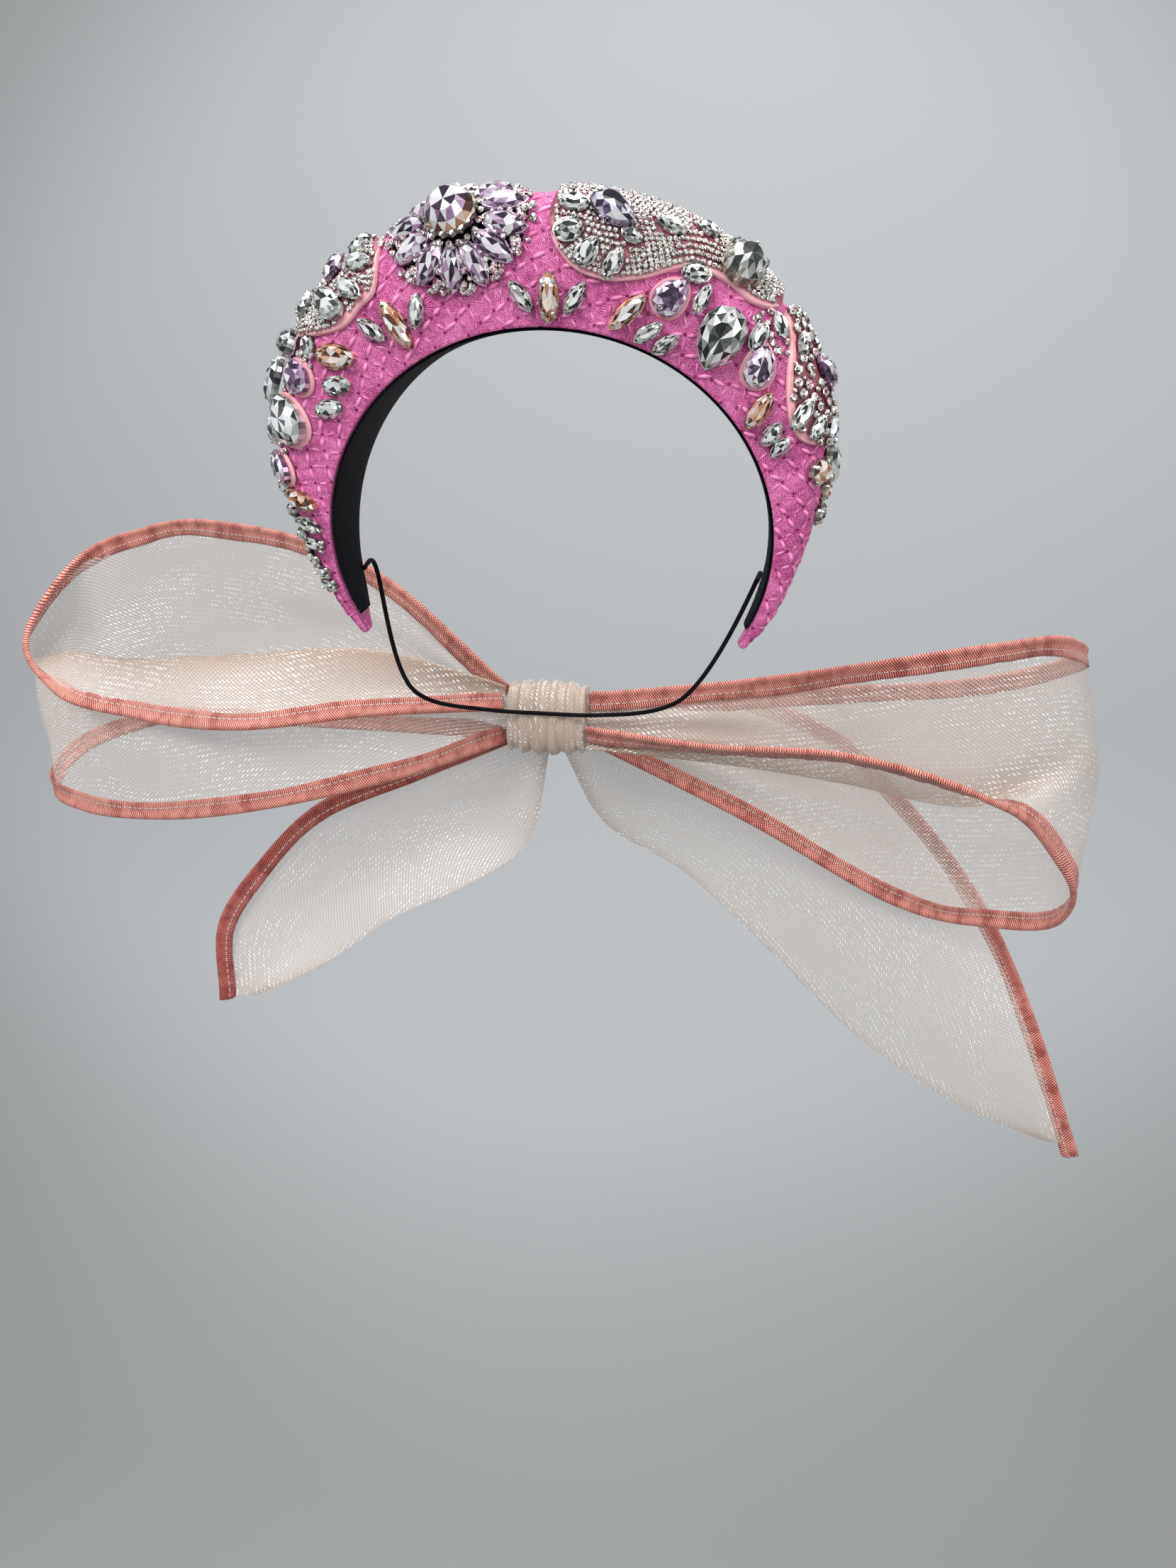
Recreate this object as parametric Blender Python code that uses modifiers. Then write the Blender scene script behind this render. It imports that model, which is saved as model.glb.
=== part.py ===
"""Padded halo headband with a crin bow: the construction model.

Metres, +Z up. +X is the viewer's right, the front of the hat faces -Y.
The origin is the middle of the band's front lower edge, where it sits on the crown.
Sizes in the tables are millimetres and degrees, and MM turns them into metres.
"""
import math

import bmesh
import bpy
import numpy as np

MM = 0.001
GAP = 0.3

# Headband arch: the front lower edge is an ellipse arc in a plane that leans forward.
ARCH_HALF_WIDTH = 79.0
ARCH_DROP_RATIO = 0.90
ARCH_LEAN_DEG = 17.0
ARCH_TIP_DEG = 119.0
BAND_STATIONS = 41
BAND_CREST_SKEW = 1.25
BAND_FULLNESS = 0.72
BAND_INNER_BULGE = 0.8
BAND_OUTER_STEPS = 11
PROFILE_STEPS = 60
BAND_INNER_STEPS = 3

# angle_deg: from the middle of the arch; width_mm: front to back; height_mm: padding.
# The wearer's right side, at negative angles, is padded a little fuller.
BAND_SECTIONS = (
    # angle_deg, width_mm, height_mm
    (-119.0, 7.0, 3.0),
    (-110.0, 18.0, 6.0),
    (-98.0, 26.0, 9.0),
    (-82.0, 34.0, 17.5),
    (-65.0, 40.0, 28.5),
    (-45.0, 44.0, 36.5),
    (-25.0, 46.0, 38.5),
    (0.0, 46.0, 39.0),
    (25.0, 46.0, 38.0),
    (45.0, 44.0, 34.0),
    (65.0, 40.0, 25.0),
    (82.0, 34.0, 15.0),
    (98.0, 26.0, 8.5),
    (110.0, 18.0, 6.0),
    (119.0, 7.0, 3.0),
)

LINING_MARGIN = 1.6
LINING_THICK = 1.0
LINING_STATIONS = 27
LINING_TIP_DEG = 114.0

ELASTIC_DIAMETER = 1.8
ELASTIC_EXIT_DEG = 104.0
ELASTIC_START_SHARE = 0.75
ELASTIC_LEAVE_SHARE = 1.25
ELASTIC_LEFT_SAG = (-62, 72, -128)
ELASTIC_RIGHT_SAG = (44, 80, -128)
ELASTIC_POINTS = 29

CRIN_THICK = 1.0
TAPE_WIDTH = 8.0
TAPE_THICK = 1.5
LOOP_STATIONS = 27
CRIN_STEPS = 9
TAIL_STATIONS = 14
GATHER_PLEATS = 3.0
GATHER_STATIONS = 7
TAPE_GAP = 0.8
TAPE_GATHERED_SHARE = 0.22
GATHER_DEPTH = 1.2
CREASE_SOFT = 0.16
CUT_EDGE_OVERHANG = 2.5
TAIL_CRIN_LEAST = 2.0

KNOT_CENTRE = (-14.5, 118.0, -141.0)
KNOT_SIZE = (34.0, 24.0, 32.0)
KNOT_RIDGES = 5
KNOT_RIDGE_DEPTH = 0.9
KNOT_STEPS = 20
KNOT_RINGS = 9
KNOT_TAPER = 0.10
KNOT_ROUNDNESS = 0.7

# Bow places are measured from the knot's centre.
# The loops run from the knot's front, round the far bend, to the knot's back.
# top, fold and low are the upper edge, the crease and the lower edge of the ribbon.
LEFT_LOOP = (
    # top_x, top_y, top_z, fold_x, fold_y, fold_z, low_x, low_y, low_z
    (-18.3, -11, 3, -18.3, -7.5, 13, -18.3, -4, -12),
    (-71, -32, 0, -76, -20, 28, -61, -20, -28),
    (-122, -52, -6, -129, -32, 24, -112, -38, -41),
    (-172, -43, -5, -183, -30, 20, -165, -36, -50),
    (-216, -36, 5, -221, -12, 20, -210, -22, -52),
    (-241, -11, 32, -250, 4, 12, -231, -10, -45),
    (-241, 24, 60, -246, 22, 20, -231, 8, -33),
    (-208, 38, 79, -215, 36, 32, -206, 30, -19),
    (-157, 34, 81, -159, 38, 33, -157, 35, -16),
    (-91, 20, 64, -93, 26, 27, -93, 25, -14),
    (-18.3, 5, 12, -18.3, 5, 0, -18.3, 5, -12),
)

RIGHT_LOOP = (
    # top_x, top_y, top_z, fold_x, fold_y, fold_z, low_x, low_y, low_z
    (18.3, -4, 12, 18.3, -7.5, -12, 18.3, -11, -2),
    (76, -20, 21, 69, -14, -13, 71, -28, -5),
    (126, -34, 31, 126, -24, -18, 129, -50, -3),
    (179, -40, 42, 179, -28, -23, 179, -52, -16),
    (211, -30, 45, 224, -22, -3, 210, -34, -41),
    (220, -12, 41, 232, -10, -8, 223, -20, -58),
    (213, 12, 33, 232, 8, -23, 225, 0, -78),
    (179, 36, 22, 199, 32, -33, 196, 26, -89),
    (125, 32, 17, 147, 38, -31, 159, 34, -84),
    (77, 14, 13, 87, 22, -18, 93, 20, -48),
    (18.3, 5, 12, 18.3, 5, 0, 18.3, 5, -12),
)

# The tails start behind the knot. bound is the taped edge, cut the slanted free edge.
LEFT_TAIL = (
    # bound_x, bound_y, bound_z, cut_x, cut_y, cut_z, belly_mm
    (-15, 12.6, -3, -3, 11.6, -14, 0),
    (-65, 14, -27, -13, 15, -59, 5),
    (-110, 7, -47, -41, 8, -81, 8),
    (-135, 0, -73, -73, 2, -97, 8),
    (-154, -8, -106, -103, -4, -119, 5),
    (-152, -12, -138, -137, -10, -138, 0),
)

RIGHT_TAIL = (
    # bound_x, bound_y, bound_z, cut_x, cut_y, cut_z, belly_mm
    (15, 12.3, 5, 5, 12.4, -12, 0),
    (83, 48, 10, 25, 42, -55, 6),
    (131, 61, -8, 63, 54, -79, 9),
    (170, 60, -43, 105, 56, -115, 10),
    (208, 57, -91, 151, 55, -156, 9),
    (234, 53, -143, 197, 52, -183, 5),
    (257, 48, -203, 246, 48, -201, 0),
)

# Leather backings and the stone fields on them lie on the cover between two distances.
BACKING_THICK = 1.2
BACKING_LIFT = 0.9
FIELD_THICK = 0.6
FIELD_STONE_HEIGHT = 1.5
FIELD_TABLE_SHARE = 0.55
FIELD_MARGIN = 1.5
FIELD_END_SHARE = 0.04
LEFT_BACKING = (
    # angle_deg, from_mm, to_mm
    (-29.0, 36.0, 45.0),
    (-32.0, 26.5, 54.0),
    (-37.0, 23.5, 56.0),
    (-42.0, 22.5, 56.0),
    (-47.0, 27.0, 54.0),
    (-51.0, 33.0, 46.0),
)
RIGHT_BACKING = (
    # angle_deg, from_mm, to_mm
    (1.5, 27.0, 42.0),
    (5.0, 20.0, 52.0),
    (12.0, 16.0, 56.0),
    (20.0, 19.5, 56.0),
    (27.0, 27.5, 55.0),
    (34.0, 29.5, 53.0),
    (40.0, 29.5, 50.0),
    (43.5, 33.0, 42.0),
)
LEAF_BACKING = (
    # angle_deg, from_mm, to_mm
    (45.0, 34.0, 41.0),
    (49.0, 28.5, 49.0),
    (53.0, 21.5, 50.0),
    (57.0, 17.0, 48.0),
    (62.0, 14.5, 44.0),
    (66.0, 16.0, 38.0),
    (68.5, 20.5, 31.0),
)

# Main stones. turn_deg is from the direction along the arch, to the point of a pear.
# plate_mm is how far a leather plate shows round the stone.
CUT_SIDES = 8
SETTING_RIM = 0.5
PLATE_THICK = 1.2
RIM_TOP_SHARE = 0.45
GIRDLE_HEIGHT_SHARE = 0.5
GIRDLE_WIDTH_SHARE = 0.97
TABLE_WIDTH_SHARE = 0.58
NAVETTE_SHARPNESS = 0.35
PEAR_TAPER = 0.32
STONES = (
    # name, cut, colour, angle_deg, over_mm, turn_deg, length_mm, width_mm, height_mm, plate_mm, lift_mm
    ("left_trio_middle_stone", "navette", "champagne", -32, 13, -87, 17, 6.5, 4.5, 0, 0),
    ("left_trio_outer_stone", "navette", "clear", -37.2, 16, -68, 11, 5, 3.5, 0, 0),
    ("left_trio_inner_stone", "navette", "clear", -26.8, 13.5, 57, 11, 5, 3.5, 0, 0),
    ("centre_trio_middle_stone", "navette", "champagne", 2, 9, -88, 15.5, 6.5, 4.5, 0, 0),
    ("centre_trio_left_stone", "navette", "clear", -4, 9.5, -57, 11, 5, 3.5, 0, 0),
    ("centre_trio_right_stone", "navette", "clear", 7.5, 9.5, 62, 11, 5, 3.5, 0, 0),
    ("left_side_champagne_stone", "oval", "champagne", -47, 18, -49, 13.5, 8, 4.5, 0, 0),
    ("left_side_high_oval_stone", "oval", "clear", -51.5, 12, -44, 10, 6, 3.5, 0, 0),
    ("left_side_low_oval_stone", "oval", "clear", -57, 10, -41, 10, 6, 3.5, 0, 0),
    ("left_side_lavender_stone", "oval", "lavender", -56, 24.5, -105, 12, 9.5, 5, 0.8, 0),
    ("left_side_clear_pear_stone", "pear", "clear", -64.5, 21.5, 60, 18.5, 12.5, 6, 0.8, 0),
    ("left_side_pink_pear_stone", "pear", "lavender", -75, 20.5, 60, 13.5, 9, 5, 0.8, 0),
    ("left_side_low_champagne_stone", "navette", "champagne", -81, 10.5, -103, 13, 6, 4.5, 0, 0),
    ("left_side_low_clear_stone", "navette", "clear", -87, 7.5, -108, 10.5, 4.5, 3.5, 0, 0),
    ("right_upper_champagne_stone", "navette", "champagne", 19, 9, 58, 15, 6, 4.5, 0, 0),
    ("right_upper_lavender_stone", "pear", "lavender", 26.2, 18, 68, 12.5, 9.5, 5, 0.8, 0),
    ("right_upper_low_stone", "navette", "clear", 24.6, 5.5, 54, 10.5, 4.5, 3.5, 0, 0),
    ("right_upper_lowest_stone", "navette", "clear", 29.2, 4.5, 57, 10, 4.5, 3.5, 0, 0),
    ("right_upper_high_stone", "navette", "clear", 31.6, 21.5, 91, 9.5, 4.5, 3.5, 0, 0),
    ("right_large_pear_stone", "pear", "clear", 38.4, 15, -81, 20, 14, 6.5, 0, 0),
    ("right_side_lavender_stone", "pear", "lavender", 48, 17, 117, 13, 9, 5, 0.8, 0),
    ("right_side_champagne_stone", "navette", "champagne", 55, 8.5, 107, 13.5, 6, 4.5, 0, 0),
    ("right_side_clear_stone", "navette", "clear", 61, 8, 109, 9, 5, 3.5, 0, 0),
    ("right_crest_lavender_stone", "navette", "lavender", 12, 35, -26, 14, 7.5, 4.5, 0, 5.0),
    ("right_crest_round_stone", "round", "clear", 34.5, 35, 0, 14, 14, 6.5, 0, 5.5),
    ("right_low_clear_stone", "oval", "clear", 73.5, 28, 10, 16, 7.5, 5, 0, 0),
    ("right_low_champagne_stone", "round", "champagne", 73, 18, 0, 8.5, 8.5, 5, 0, 0),
)

# Flower: a round stone on a stem, with petals in an oval ring under its rim.
FLOWER_ANGLE_DEG = -14.5
FLOWER_OVER = 34.0
FLOWER_PETALS = 12
FLOWER_RING_ALONG = 16.0
FLOWER_RING_ACROSS = 13.2
PETAL_LENGTH = 13.6
PETAL_WIDTH = 5.6
PETAL_HEIGHT = 4.2
FLOWER_STONE_WIDTH = 17.0
FLOWER_STEM_WIDTH = 7.0
FLOWER_STEM_HEIGHT = 5.2
FLOWER_STONE_HEIGHT = 12.5

COLOURS = {
    "clear": (0.86, 0.87, 0.88),
    "lavender": (0.72, 0.55, 0.70),
    "champagne": (0.86, 0.50, 0.28),
}


def smooth_rows(keys, rows, at):
    """Smooth curve through the rows at their keys, as cubic pieces with centred slopes."""
    keys = np.asarray(keys, float)
    rows = np.asarray(rows, float)
    slopes = np.gradient(rows, keys, axis=0)
    i = np.clip(np.searchsorted(keys, at, side="right") - 1, 0, len(keys) - 2)
    span = (keys[i + 1] - keys[i])[:, None]
    t = (np.asarray(at) - keys[i])[:, None] / span
    start = rows[i] * (1 + 2 * t) * (1 - t) ** 2 + slopes[i] * span * t * (1 - t) ** 2
    end = rows[i + 1] * t * t * (3 - 2 * t) + slopes[i + 1] * span * t * t * (t - 1)
    return start + end


def unit(vectors):
    """Vectors scaled to length one."""
    vectors = np.asarray(vectors, float)
    return vectors / np.linalg.norm(vectors, axis=-1, keepdims=True)


def band_size(angle):
    """Width and padding height of the band at an angle from its middle."""
    rows = np.array(BAND_SECTIONS)
    return smooth_rows(rows[:, 0], rows[:, 1:], np.atleast_1d(float(angle)))[0]


def arch_frame(angle):
    """Point of the front lower edge, with its outward and backward directions."""
    turn = math.radians(angle)
    lean = math.radians(ARCH_LEAN_DEG)
    up = np.array((0.0, -math.sin(lean), math.cos(lean)))
    back = np.array((0.0, math.cos(lean), math.sin(lean)))
    side = np.array((1.0, 0.0, 0.0))
    drop = ARCH_HALF_WIDTH * ARCH_DROP_RATIO * (math.cos(turn) - 1)
    point = side * ARCH_HALF_WIDTH * math.sin(turn) + up * drop
    outward = unit(side * ARCH_DROP_RATIO * math.sin(turn) + up * math.cos(turn))
    return point, outward, back


def band_profile(angle):
    """Points over the padded face from its front edge to its back edge, and their distance."""
    point, outward, back = arch_frame(angle)
    width, height = band_size(angle)
    around = np.linspace(0.0, math.pi, PROFILE_STEPS + 1)[:, None]
    depth = width * ((1 - np.cos(around)) / 2) ** BAND_CREST_SKEW
    lift = height * np.clip(np.sin(around), 0.0, 1.0) ** BAND_FULLNESS
    points = point + back * depth + outward * lift
    steps = np.linalg.norm(np.diff(points, axis=0), axis=1)
    return points, np.concatenate([[0.0], np.cumsum(steps)])


def band_point(angle, over):
    """Point on the padded face, over mm from its front edge."""
    points, distances = band_profile(angle)
    return np.array([np.interp(over, distances, points[:, i]) for i in range(3)])


def band_seat(angle, over):
    """Point, normal, and the directions along and across the padded face there."""
    along = unit(band_point(angle + 1.5, over) - band_point(angle - 1.5, over))
    across = unit(band_point(angle, over + 2.0) - band_point(angle, over - 2.0))
    normal = unit(np.cross(along, across))
    return band_point(angle, over), normal, along, np.cross(normal, along)


def inner_point(angle, share, lift=0.0):
    """Point on the lined face, share 0 to 1 from front to back."""
    point, outward, back = arch_frame(angle)
    width, _ = band_size(angle)
    bulge = BAND_INNER_BULGE * math.sin(math.pi * share)
    return point + back * width * share - outward * (bulge + lift)


def material(name, colour, roughness, metallic=0.0):
    """Principled material with one colour."""
    made = bpy.data.materials.new(name)
    made.use_nodes = True
    shader = made.node_tree.nodes["Principled BSDF"]
    shader.inputs["Base Color"].default_value = (*colour, 1.0)
    shader.inputs["Roughness"].default_value = roughness
    shader.inputs["Metallic"].default_value = metallic
    return made


def add_mesh(name, points, faces, finish, collection, smooth_deg=40.0):
    """Mesh object from points in millimetres."""
    mesh = bpy.data.meshes.new(name)
    mesh.from_pydata([tuple(p) for p in np.asarray(points) * MM], [], faces)
    work = bmesh.new()
    work.from_mesh(mesh)
    bmesh.ops.recalc_face_normals(work, faces=work.faces)
    work.to_mesh(mesh)
    work.free()
    mesh.shade_smooth()
    mesh.set_sharp_from_angle(angle=math.radians(smooth_deg))
    made = bpy.data.objects.new(name, mesh)
    made.data.materials.append(finish)
    collection.objects.link(made)
    return made


def loft(rings):
    """Points and faces of closed rings joined in order, with both ends capped."""
    count = len(rings[0])
    points = [p for ring in rings for p in ring]
    faces = []
    for r in range(len(rings) - 1):
        for i in range(count):
            j = (i + 1) % count
            faces.append((r * count + i, r * count + j, (r + 1) * count + j, (r + 1) * count + i))
    faces.append(tuple(range(count))[::-1])
    faces.append(tuple((len(rings) - 1) * count + i for i in range(count)))
    return points, faces


def sheet_object(name, grid, thickness, finish, collection):
    """Open grid of points made a wall of the given thickness, centred on the grid."""
    rows, columns = grid.shape[:2]
    faces = []
    for r in range(rows - 1):
        for c in range(columns - 1):
            a = r * columns + c
            faces.append((a, a + 1, a + columns + 1, a + columns))
    made = add_mesh(name, grid.reshape(-1, 3), faces, finish, collection)
    wall = made.modifiers.new("wall", "SOLIDIFY")
    wall.thickness = thickness * MM
    wall.offset = 0.0
    return made


def build_band(collection):
    """Padded, covered band: a full outer curve over a nearly flat lined face."""
    finish = material("rose_jacquard", (0.58, 0.07, 0.30), 0.75)
    rings = []
    for angle in np.linspace(-ARCH_TIP_DEG, ARCH_TIP_DEG, BAND_STATIONS):
        reach = band_profile(angle)[1][-1]
        outer = [band_point(angle, over) for over in np.linspace(0, reach, BAND_OUTER_STEPS + 1)]
        inner = [inner_point(angle, 1 - i / BAND_INNER_STEPS) for i in range(1, BAND_INNER_STEPS)]
        rings.append(outer + inner)
    points, faces = loft(rings)
    add_mesh("padded_band", points, faces, finish, collection)


def build_lining(collection):
    """Black lining strip under the band, a gap away from the cover."""
    finish = material("black_lining", (0.01, 0.01, 0.012), 0.7)
    lift = GAP + LINING_THICK / 2
    grid = []
    for angle in np.linspace(-LINING_TIP_DEG, LINING_TIP_DEG, LINING_STATIONS):
        width, _ = band_size(angle)
        first = LINING_MARGIN / width
        shares = np.linspace(first, 1 - first, 5)
        grid.append([inner_point(angle, share, lift) for share in shares])
    sheet_object("inner_lining", np.array(grid), LINING_THICK, finish, collection)


def elastic_route():
    """Points of the nape elastic: from one arm, round the nape by the knot, to the other."""
    radius = ELASTIC_DIAMETER / 2
    reach = GAP + LINING_THICK + GAP + radius
    nape_y = KNOT_CENTRE[1] - KNOT_SIZE[1] / 2 - radius - KNOT_RIDGE_DEPTH / 2
    ends = []
    for side in (-1, 1):
        angle = side * ELASTIC_EXIT_DEG
        start = inner_point(angle, ELASTIC_START_SHARE, reach)
        leave = inner_point(angle, ELASTIC_LEAVE_SHARE, reach)
        ends.append((start, leave))
    knot_x, _, knot_z = KNOT_CENTRE
    route = [
        ends[0][0],
        ends[0][1],
        ELASTIC_LEFT_SAG,
        (knot_x - 24, nape_y - 5, knot_z + 4),
        (knot_x, nape_y, knot_z + 3),
        (knot_x + 24, nape_y - 5, knot_z + 4),
        ELASTIC_RIGHT_SAG,
        ends[1][1],
        ends[1][0],
    ]
    route = np.array(route, float)
    keys = np.concatenate([[0], np.cumsum(np.linalg.norm(np.diff(route, axis=0), axis=1))])
    return smooth_rows(keys, route, np.linspace(0, keys[-1], ELASTIC_POINTS))


def build_elastic(collection):
    """Thin round elastic cord as one tube."""
    finish = material("black_elastic", (0.012, 0.012, 0.014), 0.6)
    curve = bpy.data.curves.new("elastic_cord", "CURVE")
    curve.dimensions = "3D"
    curve.bevel_depth = ELASTIC_DIAMETER / 2 * MM
    curve.bevel_resolution = 2
    curve.use_fill_caps = True
    points = elastic_route()
    line = curve.splines.new("POLY")
    line.points.add(len(points) - 1)
    for place, point in zip(line.points, points):
        place.co = (*(point * MM), 1.0)
    made = bpy.data.objects.new("elastic_cord", curve)
    curve.materials.append(finish)
    collection.objects.link(made)


def ribbon_rows(table, count):
    """Table rows made a smooth run of stations, evenly spaced along the ribbon's middle."""
    rows = np.array(table, float)
    for first in range(0, rows.shape[1] - 2, 3):
        rows[:, first:first + 3] += KNOT_CENTRE
    middle = rows[:, 3:6] if rows.shape[1] == 9 else (rows[:, 0:3] + rows[:, 3:6]) / 2
    keys = np.concatenate([[0], np.cumsum(np.linalg.norm(np.diff(middle, axis=0), axis=1))])
    return smooth_rows(keys, rows, np.linspace(0, keys[-1], count))


def across_ribbon(top, fold, low, share):
    """Point across the ribbon: two straight runs with the crease between them rounded."""
    upper = np.linalg.norm(fold - top)
    lower = np.linalg.norm(low - fold)
    crease = upper / (upper + lower)
    straight = top + (fold - top) * (share / crease)
    after = fold + (low - fold) * ((share - crease) / (1 - crease))
    blend = np.clip((share - crease) / CREASE_SOFT / 2 + 0.5, 0.0, 1.0)
    blend = blend * blend * (3 - 2 * blend)
    return straight * (1 - blend) + after * blend


def loop_grid(table, part):
    """Grid of one part of a loop's ribbon: its crin, its upper tape or its lower tape."""
    stations = ribbon_rows(table, LOOP_STATIONS)
    grid = []
    for k, row in enumerate(stations):
        top, fold, low = row[0:3], row[3:6], row[6:9]
        width = np.linalg.norm(fold - top) + np.linalg.norm(low - fold)
        tape = min(TAPE_WIDTH, TAPE_GATHERED_SHARE * width)
        inner = tape + TAPE_GAP
        first, last, steps = {
            "crin": (inner, width - inner, CRIN_STEPS),
            "upper": (0.0, tape, 2),
            "lower": (width - tape, width, 2),
        }[part]
        ahead = stations[min(k + 1, len(stations) - 1)][3:6]
        behind = stations[max(k - 1, 0)][3:6]
        normal = unit(np.cross(ahead - behind, low - top))
        near_knot = min(k, len(stations) - 1 - k) / GATHER_STATIONS
        depth = GATHER_DEPTH * max(0.0, 1 - near_knot)
        line = []
        for distance in np.linspace(first, last, steps):
            inside = np.clip((distance - inner) / (width - 2 * inner), 0.0, 1.0)
            ripple = depth * math.sin(2 * math.pi * GATHER_PLEATS * inside)
            line.append(across_ribbon(top, fold, low, distance / width) + normal * ripple)
        grid.append(line)
    return np.array(grid)


def build_loop(name, table, collection):
    """One loop of crin with a tape along each edge."""
    crin = material(name + "_crin", (0.86, 0.74, 0.66), 0.45)
    tape = material(name + "_tape", (0.78, 0.20, 0.16), 0.6)
    sheet_object(name + "_crin", loop_grid(table, "crin"), CRIN_THICK, crin, collection)
    sheet_object(name + "_upper_tape", loop_grid(table, "upper"), TAPE_THICK, tape, collection)
    sheet_object(name + "_lower_tape", loop_grid(table, "lower"), TAPE_THICK, tape, collection)


def tail_grid(table, first_mm, last_mm, steps):
    """Grid of a tail between two distances from its taped edge; None reaches the cut edge."""
    stations = ribbon_rows(table, TAIL_STATIONS)
    grid = []
    for k, row in enumerate(stations):
        bound, cut, belly = row[0:3], row[3:6], row[6]
        width = np.linalg.norm(cut - bound)
        ahead = stations[min(k + 1, len(stations) - 1)][0:3]
        behind = stations[max(k - 1, 0)][0:3]
        normal = unit(np.cross(ahead - behind, cut - bound))
        end = width + CUT_EDGE_OVERHANG if last_mm is None else last_mm
        line = []
        for distance in np.linspace(first_mm, max(end, first_mm + TAIL_CRIN_LEAST), steps):
            share = distance / width
            line.append(bound + (cut - bound) * share - normal * belly * math.sin(math.pi * share))
        grid.append(line)
    return np.array(grid)


def build_tail(name, table, collection):
    """One tail of crin with a tape along its long edge and a slanted cut end."""
    crin = material(name + "_crin", (0.86, 0.74, 0.66), 0.45)
    tape = material(name + "_tape", (0.74, 0.22, 0.18), 0.6)
    sheet = tail_grid(table, TAPE_WIDTH + TAPE_GAP, None, 6)
    sheet_object(name + "_crin", sheet, CRIN_THICK, crin, collection)
    edge = tail_grid(table, 0.0, TAPE_WIDTH, 2)
    sheet_object(name + "_tape", edge, TAPE_THICK, tape, collection)


def build_knot(collection):
    """Wrapped centre of the bow: a flattened barrel with soft ridges round it."""
    finish = material("bow_knot", (0.86, 0.72, 0.63), 0.5)
    wide, deep, tall = KNOT_SIZE
    rings = []
    for side in np.linspace(-1, 1, KNOT_RINGS):
        ease = 1 - KNOT_TAPER * side * side
        ring = []
        for i in range(KNOT_STEPS):
            turn = 2 * math.pi * i / KNOT_STEPS
            groove = KNOT_RIDGE_DEPTH * math.cos(math.pi * KNOT_RIDGES * side)
            across = np.sign(math.cos(turn)) * abs(math.cos(turn)) ** KNOT_ROUNDNESS
            upward = np.sign(math.sin(turn)) * abs(math.sin(turn)) ** KNOT_ROUNDNESS
            y = (deep / 2 * ease - groove) * across
            z = (tall / 2 * ease - groove) * upward
            ring.append(np.array(KNOT_CENTRE) + (side * wide / 2, y, z))
        rings.append(ring)
    points, faces = loft(rings)
    add_mesh("bow_knot", points, faces, finish, collection, 60.0)


def cut_outline(cut, length, width):
    """Outline of a stone, from its point along +x: navette, pear, oval or round."""
    turns = np.linspace(0, 2 * math.pi, CUT_SIDES, endpoint=False)
    x = np.cos(turns)
    y = np.sin(turns)
    if cut == "navette":
        y = y * np.abs(y) ** NAVETTE_SHARPNESS
    if cut == "pear":
        y = y * (1.0 - PEAR_TAPER * x)
    return np.stack([x * length / 2, y * width / 2], axis=1)


def stone_rings(outline, height, plate, base):
    """Rings of a set stone from its base up: plate, setting, rim, girdle, table."""
    levels = []
    reach = np.abs(outline).max(axis=0)
    if plate:
        wide = outline * (1 + (plate + SETTING_RIM) / reach)
        levels += [(wide, base), (wide, base + PLATE_THICK)]
        base += PLATE_THICK
    rim = outline * (1 + SETTING_RIM / reach)
    rise = height - base
    levels += [(rim, base), (rim, base + RIM_TOP_SHARE * rise)]
    levels += [(outline * GIRDLE_WIDTH_SHARE, base + GIRDLE_HEIGHT_SHARE * rise)]
    levels += [(outline * TABLE_WIDTH_SHARE, height)]
    return levels


def place_rings(levels, seat, turn_deg):
    """Levels of flat outlines set on a seat of the band, turned about its normal."""
    point, normal, along, across = seat
    turn = math.radians(turn_deg)
    first = along * math.cos(turn) + across * math.sin(turn)
    second = np.cross(normal, first)
    return [
        [point + first * u + second * v + normal * height for u, v in outline]
        for outline, height in levels
    ]


def stone_object(name, levels, seat, turn_deg, colour, collection):
    """Set stone as one closed solid."""
    finish = material(name, COLOURS[colour], 0.08)
    points, faces = loft(place_rings(levels, seat, turn_deg))
    add_mesh(name, points, faces, finish, collection, 5.0)


def build_stones(collection):
    """Every main stone of the table."""
    for name, cut, colour, angle, over, turn, length, width, height, plate, lift in STONES:
        outline = cut_outline(cut, length, width)
        levels = stone_rings(outline, height + lift, plate, GAP + lift)
        stone_object(name, levels, band_seat(angle, over), turn, colour, collection)


def build_flower(collection):
    """Raised round stone with a ring of petals."""
    seat = band_seat(FLOWER_ANGLE_DEG, FLOWER_OVER)
    per_degree = np.linalg.norm(
        band_point(FLOWER_ANGLE_DEG + 1, FLOWER_OVER) - band_point(FLOWER_ANGLE_DEG, FLOWER_OVER)
    )
    stem = cut_outline("round", FLOWER_STEM_WIDTH, FLOWER_STEM_WIDTH)
    head = cut_outline("round", FLOWER_STONE_WIDTH, FLOWER_STONE_WIDTH)
    levels = [(stem, GAP), (stem, FLOWER_STEM_HEIGHT)]
    levels += stone_rings(head, FLOWER_STONE_HEIGHT, 0, FLOWER_STEM_HEIGHT)
    stone_object("flower_centre_stone", levels, seat, 0.0, "lavender", collection)
    outline = cut_outline("navette", PETAL_LENGTH, PETAL_WIDTH)
    levels = stone_rings(outline, PETAL_HEIGHT, 0, GAP)
    for k in range(FLOWER_PETALS):
        turn = 2 * math.pi * (k + 0.5) / FLOWER_PETALS
        aside = FLOWER_RING_ALONG * math.cos(turn)
        upward = FLOWER_RING_ACROSS * math.sin(turn)
        place = band_seat(FLOWER_ANGLE_DEG + aside / per_degree, FLOWER_OVER + upward)
        radial = math.degrees(math.atan2(upward, aside))
        name = f"flower_petal_{k + 1:02d}"
        stone_object(name, levels, place, radial, "lavender", collection)


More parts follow.
